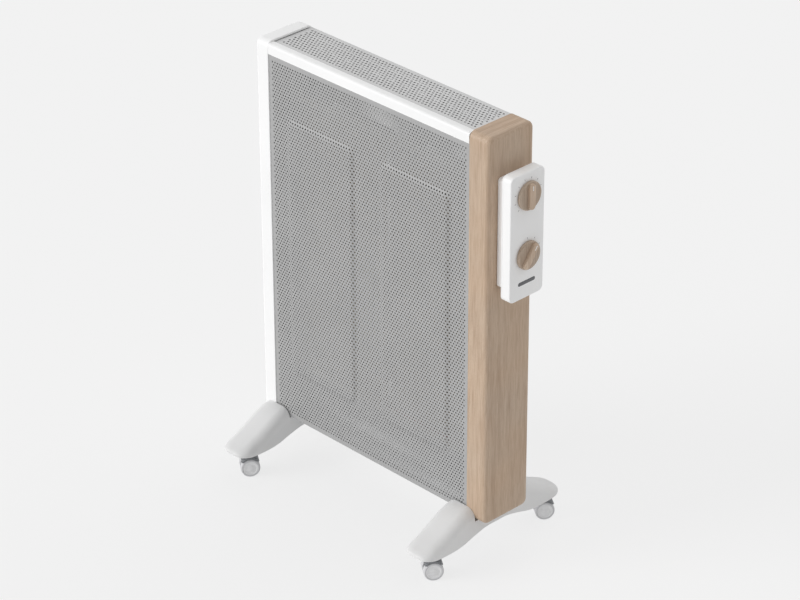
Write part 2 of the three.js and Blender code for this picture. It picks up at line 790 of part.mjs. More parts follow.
// Disc with a raised grip bar across it, drawn about its own axis with its back at zero
function knob(name, level, turn) {
  const disc = turned([
    [0, 0], [knobRadius, 0], [knobRadius, knobDisc - knobEdge], [knobRadius - knobEdge, knobDisc],
    [0, knobDisc]], knobSides);
  const top = knobDisc + gripHeight;
  const reach = knobRadius - knobEdge;
  const grip = polygon([-reach, knobDisc / 2], [reach, knobDisc / 2], [reach, knobDisc],
    [reach - gripTaper, top], [gripTaper - reach, top], [-reach, knobDisc]);
  const ridge = common(bar('X', grip, -gripWidth / 2, gripWidth / 2),
    bar('Z', circleOutline(reach, 0, 0, knobSides), 0, top + overrun));
  const bore = bar('Z', circleOutline(shaftRadius + clearance), -overrun, knobBoreDepth);
  const geometry = cut(join(disc, ridge), bore);
  geometry.applyMatrix4(stand.X);
  const mesh = piece(name, geometry, 'knobWood');
  mesh.rotation.x = THREE.MathUtils.degToRad(turn);
  mesh.position.set(knobBack, 0, level);
  return mesh;
}

function controls() {
  return [
    controlBase(), controlFascia(), signalWindow(), cordGland(),
    switchBody('thermostat_body', thermostatSize, thermostatDepth, thermostatLevel),
    switchBody('power_switch_body', powerSwitchSize, powerSwitchDepth, powerLevel),
    shaft('thermostat_shaft', thermostatLevel), shaft('power_switch_shaft', powerLevel),
    knob('thermostat_knob', thermostatLevel, 0), knob('power_knob', powerLevel, powerKnobTurn)];
}

// Round wire through hand-placed points, with each turn eased over a short bend
function wire(name, places, finish) {
  const stops = places.map((place) => new THREE.Vector3(...place));
  const path = new THREE.CurvePath();
  let from = stops[0];
  for (let i = 1; i < stops.length - 1; i++) {
    const [before, after] = [stops[i - 1], stops[i + 1]].map((other) => {
      const away = other.clone().sub(stops[i]);
      return stops[i].clone().add(away.setLength(Math.min(wireBend, away.length() / 2)));
    });
    path.add(new THREE.LineCurve3(from, before));
    path.add(new THREE.QuadraticBezierCurve3(before, stops[i], after));
    from = after;
  }
  path.add(new THREE.LineCurve3(from, stops[stops.length - 1]));
  const steps = Math.ceil(path.getLength() / wireStep);
  const section = new THREE.Shape(circleOutline(wireRadius, 0, 0, wireSides));
  return piece(name, new THREE.ExtrudeGeometry(section, { steps, extrudePath: path }), finish);
}

function wiring() {
  const lowLevel = lowerRailTop + wireRadius + 2 * clearance;
  const ribbonEnd = boardWidth / 2 - ribbonMargin - ribbonWidth;
  const leftStart = boardsMiddle - boardOffset + ribbonEnd;
  const rightStart = boardsMiddle + boardOffset + ribbonEnd;
  const nearColumn = wiringFace + blockDepth / 4;
  const farColumn = wiringFace + blockDepth * 3 / 4;
  const blockBottom = blockLevel - clearance;
  const blockTop = blockLevel + blockHeight + clearance;
  const lane = blockWidth / 4;
  const inBox = fasciaInside - thermostatDepth / 2;
  const thermostatFoot = thermostatLevel - thermostatSize / 2 - clearance;
  const switchHead = powerLevel + powerSwitchSize / 2 + clearance;
  const switchFoot = powerLevel - powerSwitchSize / 2 - clearance;
  const glandTop = baseBottom + controlWall + 2 * clearance + 2 * wireRadius;
  const cutoutTop = cutoutBottom + cutoutHeight + clearance;
  const cutoutStart = rightPlateInside - clearance - cutoutDepth / 2;
  const upper = wireHoleLevel + wireHoleRadius / 3;
  const lower = wireHoleLevel - wireHoleRadius / 3;
  return [
    wire('element_wire_left', [
      [leftStart, wirePlane, ribbonLevel], [leftStart + wireBend, wirePlane, lowLevel],
      [farColumn, wirePlane, lowLevel], [farColumn, wirePlane, blockBottom]], 'redWire'),
    wire('element_wire_right', [
      [rightStart, wirePlane, ribbonLevel], [nearColumn, wirePlane, ribbonLevel],
      [nearColumn, wirePlane, blockBottom]], 'redWire'),
    wire('tip_switch_wire', [
      [nearColumn, lane, bracketBottom + bracketHeight + clearance], [nearColumn, lane, blockBottom]],
    'brownWire'),
    wire('thermostat_wire', [
      [nearColumn, -lane, blockTop], [nearColumn, -lane, upper - blockHeight], [nearColumn, 0, upper],
      [inBox, 0, upper], [inBox, 0, thermostatFoot]], 'brownWire'),
    wire('power_switch_wire', [
      [farColumn, lane, blockTop], [farColumn, lane, lower - blockHeight], [farColumn, 0, lower],
      [inBox, 0, lower], [inBox, 0, switchHead]], 'blueWire'),
    wire('cutout_wire', [
      [cutoutStart, 0, cutoutTop], [cutoutStart, 0, cutoutHoleLevel], [nearColumn, 0, cutoutHoleLevel],
      [nearColumn, lane, cutoutHoleLevel - blockHeight], [nearColumn, lane, blockTop]], 'redWire'),
    wire('supply_wire', [
      [baseBack + glandInset, 0, glandTop], [baseBack + glandInset, 0, glandTop + wireBend],
      [inBox, 0, switchFoot - wireBend], [inBox, 0, switchFoot]], 'brownWire'),
  ];
}

// Cross section of a foot at a distance from its middle, crowned by two quarter ellipses
function footRing(y, roof, lower, width, radius) {
  const across = Math.min(radius, width / 2 * footShoulderShare);
  const down = Math.min(radius, (roof - lower) * footShoulderShare);
  const points = [[-width / 2, lower], [width / 2, lower]];
  for (const side of [1, -1]) {
    for (let step = 0; step <= footSteps; step++) {
      const share = side > 0 ? step / footSteps : 1 - step / footSteps;
      const angle = share * Math.PI / 2;
      points.push([
        side * (width / 2 - across + across * Math.cos(angle)),
        roof - down + down * Math.sin(angle)]);
    }
  }
  return points.map(([x, z]) => new THREE.Vector3(x, y, z));
}

// Foot from tip to tip; an inset and a drop make the hollow inside it
function footLoft(inset, ceiling, drop) {
  const stations = [
    ...footOutlineShares.map((shares) => [1, ...shares]),
    ...footOutlineShares.slice(0, -1).reverse().map((shares) => [-1, ...shares])];
  return skin(stations.map(([end, reach, roof, lower, width]) => footRing(
    end * reach * (footReach - inset), Math.min(roof * footTop, ceiling) - inset,
    lower * footTop - drop, width * footWidth - 2 * inset, footShoulder - inset)));
}

// Hollow foot, drawn about its own middle and cut to the underside of the casing
function foot(side) {
  const middle = footSides[side].middle;
  const half = footWidth / 2;
  const outer = footLoft(0, footTop, 0);
  const hollow = footLoft(footWall, footCeiling, overrun);
  const sockets = [-1, 1].map((end) => common(outer,
    bar('Z', circleOutline(socketRadius, 0, end * castorReach), socketBottom, footTop)));
  const stemHoles = [-1, 1].map((end) => bar('Z',
    circleOutline(stemRadius + clearance, 0, end * castorReach),
    socketBottom - overrun, neckTop + stemLength + clearance));
  const clear = -frontFace + clearance;
  const casing = block(-half - overrun, half + overrun, -clear, clear, footPadTop, footTop + overrun);
  const capEdge = side === 'left' ? grilleLeft - middle : grilleRight - middle;
  const capReach = side === 'left' ? -half - overrun : half + overrun;
  const capCut = block(Math.min(capEdge, capReach), Math.max(capEdge, capReach), -clear, clear,
    footCeiling, footTop + overrun);
  const padEdge = capEdge - Math.sign(capReach) * clearance;
  const padFar = -Math.sign(capReach) * half;
  const pad = block(Math.min(padEdge, padFar), Math.max(padEdge, padFar),
    -footPadReach, footPadReach, footCeiling, trayBottom - clearance);
  const holes = [-1, 1].map((end) => screwHole(side, end * screwSpacing / 2,
    footCeiling - footWall - overrun, trayTop).translate(-middle, 0, 0));
  const hood = cut(outer, hollow, casing, capCut);
  const geometry = cut(join(hood, ...sockets, pad), ...stemHoles, ...holes);
  const mesh = piece(`foot_${side}`, geometry, 'footPlastic');
  mesh.position.x = middle;
  return mesh;
}

function footScrew(side, end) {
  const under = footCeiling - footWall - clearance;
  const top = trayTop + screwReach;
  const geometry = turned([
    [0, under - screwHeadHeight], [screwHeadRadius, under - screwHeadHeight], [screwHeadRadius, under],
    [screwRadius, under], [screwRadius, top], [0, top]]);
  const mesh = piece(`foot_screw_${end < 0 ? 'front' : 'rear'}_${side}`, geometry, 'zincSteel');
  mesh.position.set(footSides[side].screw, end * screwSpacing / 2, 0);
  return mesh;
}

// Curved band over the wheels, centred above the axle
function hoodOutline() {
  const edge = (radius, step) => {
    const angle = (90 + hoodSpan * (step / hoodSteps - 0.5)) * Math.PI / 180;
    return new THREE.Vector2(
      castorTrail + radius * Math.cos(angle), axleHeight + radius * Math.sin(angle));
  };
  const steps = Array.from({ length: hoodSteps + 1 }, (unused, step) => step);
  return [
    ...steps.map((step) => edge(hoodInner + hoodWall, step)),
    ...steps.reverse().map((step) => edge(hoodInner, step))];
}

// Web between the wheels with its hood, neck and swivel stem, drawn with the trail towards +Y
function castorBody() {
  const outline = new THREE.Shape();
  outline.moveTo(-webFront, neckBottom + neckHeight / 2);
  outline.lineTo(castorTrail - axleBoss, axleHeight);
  for (const point of circleOutline(axleBoss, castorTrail, axleHeight, roundSides)) {
    if (point.y < axleHeight) {
      outline.lineTo(point.x, point.y);
    }
  }
  outline.lineTo(castorTrail + axleBoss, axleHeight);
  outline.lineTo(webBack, neckBottom + neckHeight / 2);
  const web = castorWidth / 2 - wheelThickness - clearance;
  return cut(
    join(
      bar('X', outline, -web, web),
      bar('X', hoodOutline(), -castorWidth / 2, castorWidth / 2),
      bar('Z', circleOutline(neckRadius), neckBottom, neckTop),
      bar('Z', circleOutline(stemRadius), neckTop - overrun, neckTop + stemLength)),
    bar('X', circleOutline(axleRadius + clearance, castorTrail, axleHeight),
      -web - overrun, web + overrun));
}

// Wheel about Z with its inner face at zero, a blind bore from that face and a dished hub outside
function wheel() {
  const face = wheelThickness;
  return turned([
    [0, face - hubWall], [axleRadius + clearance, face - hubWall], [axleRadius + clearance, 0],
    [wheelRadius - wheelEdge, 0], [wheelRadius, wheelEdge], [wheelRadius, face - wheelEdge],
    [wheelRadius - wheelEdge, face], [hubRadius + hubDish, face], [hubRadius, face - hubDish],
    [0, face - hubDish]], wheelSides);
}

function castor(side, end) {
  const place = `${end < 0 ? 'front' : 'rear'}_${side}`;
  const group = new THREE.Group();
  const axleHalf = castorWidth / 2 - hubWall - clearance;
  const axle = bar('X', circleOutline(axleRadius), -axleHalf, axleHalf);
  const axleMesh = piece(`castor_axle_${place}`, axle, 'zincSteel');
  axleMesh.position.set(0, castorTrail, axleHeight);
  group.add(piece(`castor_body_${place}`, castorBody(), 'castorPlastic'), axleMesh);
  for (const [name, direction] of [['right', 1], ['left', -1]]) {
    const mesh = piece(`castor_wheel_${place}_${name}`, wheel(), 'wheelPlastic');
    mesh.rotation.y = direction * Math.PI / 2;
    mesh.position.set(direction * (castorWidth / 2 - wheelThickness), castorTrail, axleHeight);
    group.add(mesh);
  }
  group.rotation.z = -castorTurn * Math.PI / 180;
  group.position.set(footSides[side].middle, end * castorReach, 0);
  return group;
}

const group = new THREE.Group();
group.add(
  leftEndCap(), rightEndCap(), ...grilles(), topGrille(), frontTopRail(), bottomTray(), ...framePlates(),
  ...heatingElement(), thermalCutout(), terminalBlock(), ...tipSwitch(), ...controls(), ...wiring());
for (const side of ['left', 'right']) {
  group.add(foot(side));
  for (const end of [-1, 1]) {
    group.add(footScrew(side, end), castor(side, end));
  }
}

// The origin is on the floor, midway between the left-hand cap and the knobs
group.position.x = -(leftEnd + knobFront) / 2;

export default group;
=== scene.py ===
import json
import math
import bpy
import numpy as np
from mathutils import Matrix, Vector


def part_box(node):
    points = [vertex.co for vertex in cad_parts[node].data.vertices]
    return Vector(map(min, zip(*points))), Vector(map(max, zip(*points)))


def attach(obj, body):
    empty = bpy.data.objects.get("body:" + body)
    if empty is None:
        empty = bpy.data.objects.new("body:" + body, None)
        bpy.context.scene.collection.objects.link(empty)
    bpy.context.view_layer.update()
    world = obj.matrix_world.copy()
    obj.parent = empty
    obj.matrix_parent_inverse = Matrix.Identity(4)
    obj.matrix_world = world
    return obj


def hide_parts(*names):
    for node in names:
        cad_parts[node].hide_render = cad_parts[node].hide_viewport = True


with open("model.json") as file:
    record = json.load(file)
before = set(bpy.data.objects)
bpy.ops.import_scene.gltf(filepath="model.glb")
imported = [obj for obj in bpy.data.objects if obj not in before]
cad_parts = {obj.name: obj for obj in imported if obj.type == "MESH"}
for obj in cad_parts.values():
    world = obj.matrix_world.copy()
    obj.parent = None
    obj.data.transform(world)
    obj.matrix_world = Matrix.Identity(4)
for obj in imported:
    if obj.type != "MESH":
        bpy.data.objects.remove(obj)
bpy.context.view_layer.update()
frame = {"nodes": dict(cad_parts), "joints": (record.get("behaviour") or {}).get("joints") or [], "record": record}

joints = {joint["name"]: joint for joint in frame["joints"]}
print("frame loaded:", len(frame["nodes"]), "nodes")

# The photograph's view, from the casing's middle on the floor: degrees, metres, and a lens in
# millimetres on a 36 mm wide film
shot = {
    "turn": 45.91, "height": 29.06, "tilt": -0.187,
    "away": 4.6601, "aside": 0.01073, "up": 0.27502, "forward": 0.0015,
    "lens": 149.69, "film": 36.0, "farthest": 60.0,
}

# Even studio light: a pale room all round, a broad key from the front left and a high, broader fill
# from behind that lightens the shadow
studio = {
    "room": 0.50, "backdrop": 0.888,
    "key": 1.60, "keyFrom": (-0.50, -0.80, 0.334), "keySpread": 35,
    "fill": 0.50, "fillFrom": (0.0, 0.60, 0.80), "fillSpread": 70,
    "floorSize": 9.0, "floorBounce": 0.95, "floorSeen": 0.19, "floorGlow": 0.735,
}


def linear(colour):
    # Screen values from 0 to 255 as the light amounts that shaders take, by the sRGB curve
    share = np.asarray(colour, float) / 255
    curve = np.where(share <= 0.04045, share / 12.92, ((share + 0.055) / 1.055) ** 2.4)
    return (*curve.tolist(), 1.0)


def boxOf(node):
    # Lowest and highest corner of a CAD node
    low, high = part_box(node)
    return np.array(low), np.array(high)


leftCapLow, leftCapHigh = boxOf("left_end_cap")
rightCapLow, rightCapHigh = boxOf("right_end_cap")
casingMiddle = (leftCapLow[0] + rightCapHigh[0]) / 2


def placeCamera():
    # Back points from the casing to the camera. Right and up lie square to it, and they are a level
    # direction and a rising one, both turned by the tilt.
    turn, height, tilt = (math.radians(shot[k]) for k in ("turn", "height", "tilt"))
    back = np.array([math.sin(turn) * math.cos(height), -math.cos(turn) * math.cos(height),
                     math.sin(height)])
    flat = np.array([math.cos(turn), math.sin(turn), 0])
    rise = np.cross(back, flat)
    right = flat * math.cos(tilt) + rise * math.sin(tilt)
    up = rise * math.cos(tilt) - flat * math.sin(tilt)
    camera = bpy.data.objects.new("camera", bpy.data.cameras.new("camera"))
    bpy.context.scene.collection.objects.link(camera)
    spot = back * shot["away"] + right * shot["aside"] + up * shot["up"]
    spot[:2] += [casingMiddle, -shot["forward"]]
    matrix = np.eye(4)
    matrix[:3, 0], matrix[:3, 1], matrix[:3, 2], matrix[:3, 3] = right, up, back, spot
    camera.matrix_world = Matrix(matrix.tolist())
    camera.data.lens = shot["lens"]
    camera.data.sensor_width = shot["film"]
    camera.data.clip_end = shot["farthest"]
    bpy.context.scene.camera = camera


def connect(tree, value, socket):
    # Puts a number or a node's output into a socket
    if hasattr(value, "is_output"):
        tree.links.new(value, socket)
    else:
        socket.default_value = value


def arithmetic(tree, operation, *values):
    # One step of arithmetic on numbers or outputs
    node = tree.nodes.new("ShaderNodeMath")
    node.operation = operation
    for value, socket in zip(values, node.inputs):
        connect(tree, value, socket)
    return node.outputs[0]


def between(tree, share, low, high, fromLow=0.0, fromHigh=1.0):
    # A share from fromLow to fromHigh as a value from low to high
    span = tree.nodes.new("ShaderNodeMapRange")
    for key, value in (("From Min", fromLow), ("From Max", fromHigh), ("To Min", low), ("To Max", high)):
        span.inputs[key].default_value = value
    tree.links.new(share, span.inputs["Value"])
    return span.outputs[0]


def backgroundShare(tree):
    # 1 for rays that show the background, straight or in gloss or glass, and 0 for lighting rays
    path = tree.nodes.new("ShaderNodeLightPath").outputs
    shown = arithmetic(tree, "MAXIMUM", path["Is Camera Ray"], path["Is Glossy Ray"])
    return arithmetic(tree, "MAXIMUM", shown, path["Is Transmission Ray"])


def buildStudio():
    # A plain world, two broad suns, and a floor that gives light back to the heater and glows evenly
    # for the camera
    world = bpy.data.worlds.new("studio")
    bpy.context.scene.world = world
    world.use_nodes = True
    tree = world.node_tree
    room = tree.nodes["Background"].inputs
    strength = between(tree, backgroundShare(tree), studio["room"], studio["backdrop"])
    tree.links.new(strength, room["Strength"])
    room["Color"].default_value = (1, 1, 1, 1)

    for name in ("key", "fill"):
        sun = bpy.data.objects.new(name, bpy.data.lights.new(name, "SUN"))
        sun.data.energy = studio[name]
        sun.data.angle = math.radians(studio[f"{name}Spread"])
        bpy.context.scene.collection.objects.link(sun)
        sun.rotation_mode = "QUATERNION"
        sun.rotation_quaternion = Vector(studio[f"{name}From"]).to_track_quat("Z", "Y")

    half = studio["floorSize"] / 2
    mesh = bpy.data.meshes.new("floor")
    corners = [(-half, -half, 0), (half, -half, 0), (half, half, 0), (-half, half, 0)]
    mesh.from_pydata(corners, [], [(0, 1, 2, 3)])
    floor = bpy.data.objects.new("floor", mesh)
    bpy.context.scene.collection.objects.link(floor)
    paper = bpy.data.materials.new("floor paper")
    paper.use_nodes = True
    tree = paper.node_tree
    tree.nodes.remove(tree.nodes["Principled BSDF"])
    share = backgroundShare(tree)
    tone = between(tree, share, studio["floorBounce"], studio["floorSeen"])
    glow = arithmetic(tree, "MULTIPLY", share, studio["floorGlow"])
    matt, light, total = (tree.nodes.new(f"ShaderNode{kind}")
                          for kind in ("BsdfDiffuse", "Emission", "AddShader"))
    tree.links.new(tone, matt.inputs["Color"])
    tree.links.new(glow, light.inputs["Strength"])
    tree.links.new(matt.outputs[0], total.inputs[0])
    tree.links.new(light.outputs[0], total.inputs[1])
    tree.links.new(total.outputs[0], tree.nodes["Material Output"].inputs["Surface"])
    mesh.materials.append(paper)
    bpy.context.scene.view_settings.view_transform = "Standard"


placeCamera()
buildStudio()
print("camera and studio placed")


# Finishes. Each one is a shader with colour, roughness and relief from solid noise at real scale.
white = (255, 255, 255)


def startLook(name):
    # A new material with its node tree, its shader and the place on the object
    look = bpy.data.materials.new(name)
    look.use_nodes = True
    tree = look.node_tree
    where = tree.nodes.new("ShaderNodeTexCoord").outputs["Object"]
    return look, tree, tree.nodes["Principled BSDF"], where


def noiseAt(tree, where, grain, detail, stretch=(1, 1, 1), bend=0.0):
    # Noise with features about grain metres across, longer where stretch is above 1
    place = tree.nodes.new("ShaderNodeMapping")
    place.inputs["Scale"].default_value = [1 / (grain * s) for s in stretch]
    noise = tree.nodes.new("ShaderNodeTexNoise")
    noise.inputs["Scale"].default_value = 1.0
    noise.inputs["Detail"].default_value = detail
    noise.inputs["Distortion"].default_value = bend
    tree.links.new(where, place.inputs["Vector"])
    tree.links.new(place.outputs[0], noise.inputs["Vector"])
    return noise.outputs["Fac"]


def tones(tree, share, stops):
    # Colours, as screen values, at shares from 0 to 1
    ramp = tree.nodes.new("ShaderNodeValToRGB")
    while len(ramp.color_ramp.elements) < len(stops):
        ramp.color_ramp.elements.new(0.5)
    for element, (at, colour) in zip(ramp.color_ramp.elements, stops):
        element.position = at
        element.color = linear(colour)
    tree.links.new(share, ramp.inputs["Fac"])
    return ramp.outputs["Color"]


def blendColours(tree, share, first, second, kind="MIX"):
    # First colour at share 0 and second at share 1; share is a number or a node's output
    mix = tree.nodes.new("ShaderNodeMix")
    mix.data_type = "RGBA"
    mix.blend_type = kind
    connect(tree, share, mix.inputs["Factor"])
    tree.links.new(first, mix.inputs["A"])
    tree.links.new(second, mix.inputs["B"])
    return mix.outputs["Result"]


# Most of a noise's values lie between these two
noiseLow, noiseHigh = 0.3, 0.7


def dress(tree, shader, base, sheen, first, second, heights):
    # Base colour, a roughness that goes from the first value to the second with the sheen's noise,
    # and one bump after another; each has a height, its depth in metres and its strength
    tree.links.new(base, shader.inputs["Base Color"])
    tree.links.new(between(tree, sheen, first, second, noiseLow, noiseHigh), shader.inputs["Roughness"])
    last = None
    for height, depth, strength in heights:
        bump = tree.nodes.new("ShaderNodeBump")
        bump.inputs["Distance"].default_value = depth
        bump.inputs["Strength"].default_value = strength
        tree.links.new(height, bump.inputs["Height"])
        if last is not None:
            tree.links.new(last, bump.inputs["Normal"])
        last = bump.outputs["Normal"]
    tree.links.new(last, shader.inputs["Normal"])


def shaded(colour, change):
    # Every channel made lighter by a share, or darker by a negative one
    return [min(255, max(0, value * (1 + change))) for value in colour]


# In every finish the grain is in metres, and a relief is its depth in metres and its strength
coat = {
    "cloud": 0.06, "peel": 0.0011, "speck": 0.0004, "tone": 0.015, "fleck": (244, 244, 244),
    "sheen": 0.06, "peelRelief": (0.00004, 0.35), "speckRelief": (0.00001, 0.3),
}


def powderCoat(name, colour, roughness):
    # Baked paint on steel: an even coat with orange peel about 1 mm across and faint clouding
    look, tree, shader, where = startLook(name)
    cloud = noiseAt(tree, where, coat["cloud"], 3)
    peel = noiseAt(tree, where, coat["peel"], 3)
    speck = noiseAt(tree, where, coat["speck"], 1)
    tone, sheen = coat["tone"], coat["sheen"]
    base = tones(tree, cloud, [(noiseLow, shaded(colour, -tone)), (noiseHigh, shaded(colour, tone))])
    fleck = tones(tree, speck, [(0.35, coat["fleck"]), (0.65, white)])
    dress(tree, shader, blendColours(tree, 1.0, base, fleck, "MULTIPLY"), peel, roughness - sheen,
          roughness + sheen, [(peel, *coat["peelRelief"]), (speck, *coat["speckRelief"])])
    return look


plastic = {
    "drift": 0.08, "handling": 0.018, "spark": 0.0005, "darker": 0.01, "paler": 0.008,
    "sheen": 0.05, "relief": (0.00003, 0.3),
}


def moulding(name, colour, roughness, spark=plastic["spark"]):
    # Moulded plastic: spark-eroded texture, slow tone drift and softly varying sheen
    look, tree, shader, where = startLook(name)
    drift = noiseAt(tree, where, plastic["drift"], 2)
    grain = noiseAt(tree, where, spark, 2)
    handling = noiseAt(tree, where, plastic["handling"], 4)
    base = tones(tree, drift, [(noiseLow, shaded(colour, -plastic["darker"])),
                               (noiseHigh, shaded(colour, plastic["paler"]))])
    dress(tree, shader, base, handling, roughness - plastic["sheen"], roughness + plastic["sheen"],
          [(grain, *plastic["relief"])])
    return look


# Wood-look foil: streaks along the height, fine grain lines, short pores and a warm drift
foil = {
    "pale": (206, 184, 161), "mid": (200, 177, 154), "deep": (189, 165, 142), "pore": (166, 141, 119),
    "lineTone": (226, 220, 212), "poreShare": (150, 150, 150),
    "warm": (255, 246, 238), "cool": (248, 250, 255),
    "streak": 0.007, "line": 0.0011, "pores": 0.0005, "drift": 0.09, "length": 16.0, "lineLength": 25.6,
    "streakBend": 0.6, "lineBend": 0.3, "lineBlend": 0.6, "driftBlend": 0.5, "roughness": (0.58, 0.46),
    "streakRelief": (0.0001, 0.12), "lineRelief": (0.00006, 0.25), "poreRelief": (0.00004, 0.2),
    "levelFrom": 0.68, "levelTo": 0.74,
}


def wrapped(tree, where):
    # The place with its Y and Z swapped on faces that look up or down, so grain along Z turns there
    facing, spread = tree.nodes.new("ShaderNodeSeparateXYZ"), tree.nodes.new("ShaderNodeSeparateXYZ")
    tree.links.new(where.node.outputs["Normal"], facing.inputs[0])
    tree.links.new(where, spread.inputs[0])
    level = arithmetic(tree, "ABSOLUTE", facing.outputs["Z"])
    swapped = tree.nodes.new("ShaderNodeCombineXYZ")
    for into, out in (("X", "X"), ("Y", "Z"), ("Z", "Y")):
        tree.links.new(spread.outputs[out], swapped.inputs[into])
    choice = tree.nodes.new("ShaderNodeMix")
    choice.data_type = "VECTOR"
    tree.links.new(between(tree, level, 0, 1, foil["levelFrom"], foil["levelTo"]), choice.inputs["Factor"])
    tree.links.new(where, choice.inputs[4])
    tree.links.new(swapped.outputs[0], choice.inputs[5])
    return choice.outputs[1]


def woodFoil(name, darker=0.0, greyer=0.0):
    # Grain along Z; darker lowers every tone by a share, and greyer draws it towards its mean
    look, tree, shader, where = startLook(name)
    where = wrapped(tree, where)
    stretch, lineStretch = (1, 1, foil["length"]), (1, 1, foil["lineLength"])
    streak = noiseAt(tree, where, foil["streak"], 4, stretch, foil["streakBend"])
    line = noiseAt(tree, where, foil["line"], 3, lineStretch, foil["lineBend"])
    pores = noiseAt(tree, where, foil["pores"], 1, stretch)
    warmth = noiseAt(tree, where, foil["drift"], 2)
    sources = np.array([foil[k] for k in ("pale", "mid", "deep", "pore")], float)
    sources += (sources.mean(1, keepdims=True) - sources) * greyer
    pale, mid, deep, pore = (shaded(colour, -darker) for colour in sources.tolist())
    broad = tones(tree, streak, [(0.32, deep), (0.5, mid), (0.68, pale)])
    fine = tones(tree, line, [(0.35, foil["lineTone"]), (0.6, white)])
    grained = blendColours(tree, foil["lineBlend"], broad, fine, "MULTIPLY")
    dots = tones(tree, pores, [(0.62, (0, 0, 0)), (0.68, foil["poreShare"])])
    porous = blendColours(tree, dots, grained, tones(tree, line, [(0, pore), (1, pore)]))
    drift = tones(tree, warmth, [(noiseLow, foil["warm"]), (noiseHigh, foil["cool"])])
    base = blendColours(tree, foil["driftBlend"], porous, drift, "MULTIPLY")
    dress(tree, shader, base, line, *foil["roughness"],
          [(streak, *foil["streakRelief"]), (line, *foil["lineRelief"]), (pores, *foil["poreRelief"])])
    return look


plating = {
    "rolled": 0.0004, "rolledLength": 60, "bloom": 0.02, "bend": 0.8, "darker": 0.12, "paler": 0.06,
    "rougher": 0.1, "glossier": 0.06, "metal": 0.9, "relief": (0.00002, 0.3),
}


def zincPlate(name, colour, roughness):
    # Plated steel: rolled lines along X and a mottled passivation bloom
    look, tree, shader, where = startLook(name)
    rolled = noiseAt(tree, where, plating["rolled"], 3, (plating["rolledLength"], 1, 1))
    bloom = noiseAt(tree, where, plating["bloom"], 4, bend=plating["bend"])
    base = tones(tree, bloom, [(noiseLow, shaded(colour, -plating["darker"])),
                               (noiseHigh, shaded(colour, plating["paler"]))])
    shader.inputs["Metallic"].default_value = plating["metal"]
    dress(tree, shader, base, bloom, roughness + plating["rougher"], roughness - plating["glossier"],
          [(rolled, *plating["relief"])])
    return look


flake = {
    "perMetre": (160, 160, 90), "pale": (196, 180, 150), "mid": (176, 158, 128), "join": (140, 120, 92),
    "mottle": 0.004, "veil": (226, 220, 210), "roughness": (0.45, 0.65), "relief": (0.0001, 0.3),
}


def micaSheet(name):
    # Pressed mica: overlapping pale flakes with darker joins and a pearly sheen
    look, tree, shader, where = startLook(name)
    place = tree.nodes.new("ShaderNodeMapping")
    place.inputs["Scale"].default_value = flake["perMetre"]
    flakes = tree.nodes.new("ShaderNodeTexVoronoi")
    flakes.inputs["Scale"].default_value = 1.0
    tree.links.new(where, place.inputs["Vector"])
    tree.links.new(place.outputs[0], flakes.inputs["Vector"])
    mottle = noiseAt(tree, where, flake["mottle"], 4)
    base = tones(tree, flakes.outputs["Distance"],
                 [(0.0, flake["pale"]), (0.6, flake["mid"]), (0.9, flake["join"])])
    veil = tones(tree, mottle, [(noiseLow, flake["veil"]), (noiseHigh, white)])
    dress(tree, shader, blendColours(tree, 1.0, base, veil, "MULTIPLY"), mottle, *flake["roughness"],
          [(flakes.outputs["Distance"], *flake["relief"])])
    return look


fired = {"pits": 0.0008, "deep": (214, 206, 190), "pale": (232, 226, 212), "roughness": (0.75, 0.6),
         "relief": (0.00008, 0.35)}


def steatite(name):
    # Fired ceramic: chalky, slightly pitted
    look, tree, shader, where = startLook(name)
    pits = noiseAt(tree, where, fired["pits"], 4)
    base = tones(tree, pits, [(noiseLow, fired["deep"]), (0.6, fired["pale"])])
    dress(tree, shader, base, pits, *fired["roughness"], [(pits, *fired["relief"])])
    return look


silicone = {"dust": 0.006, "darker": 0.08, "paler": 0.12, "roughness": (0.42, 0.6),
            "relief": (0.00005, 0.15)}


def sleeve(name, colour):
    # Silicone wire insulation: soft sheen, dusty where it has been handled
    look, tree, shader, where = startLook(name)
    dust = noiseAt(tree, where, silicone["dust"], 3)
    base = tones(tree, dust, [(0.35, shaded(colour, -silicone["darker"])),
                              (noiseHigh, shaded(colour, silicone["paler"]))])
    dress(tree, shader, base, dust, *silicone["roughness"], [(dust, *silicone["relief"])])
    return look


looks = {
    "grey_steel": powderCoat("grey powder coat", (176, 176, 176), 0.5),
    "light_grey_steel": powderCoat("light grey powder coat", (219, 219, 219), 0.5),
    "white_plastic": moulding("white moulding", (250, 250, 250), 0.42),
    "wood_look": woodFoil("wood foil"),
    "knob_wood": woodFoil("dark knob foil", 0.02, 0.18),
    "foot_plastic": moulding("light grey moulding", (232, 232, 232), 0.5, 0.0007),
    "wheel_plastic": moulding("grey wheel nylon", (242, 242, 243), 0.45, 0.0006),
    "dark_plastic": moulding("dark phenolic", (52, 55, 60), 0.5),
    # Mid grey, well below the wheels: partly the frame's own colour, partly painted shade for the gap under the
    # foot
    "castor_plastic": moulding("grey castor frame", (132, 134, 137), 0.5, 0.0006),
    "zinc_steel": zincPlate("zinc plate", (172, 175, 178), 0.42),
    "mica": micaSheet("mica"),
    "ribbon_alloy": zincPlate("resistance alloy", (150, 150, 150), 0.42),
    "ceramic": steatite("steatite"),
    "smoked_lens": moulding("smoked lens", (96, 97, 100), 0.16, 0.002),
    "red_wire": sleeve("red silicone", (178, 58, 48)),
    "blue_wire": sleeve("blue silicone", (58, 95, 168)),
    "brown_wire": sleeve("brown silicone", (107, 69, 44)),
}
# The grip is the knob's wood made paler: painted highlight on the raised bar, where it catches more light than the
# dish
gripHighlightFoil = woodFoil("pale grip foil", -0.08, 0.1)
markInk = moulding("grey dial print", (150, 152, 155), 0.6)

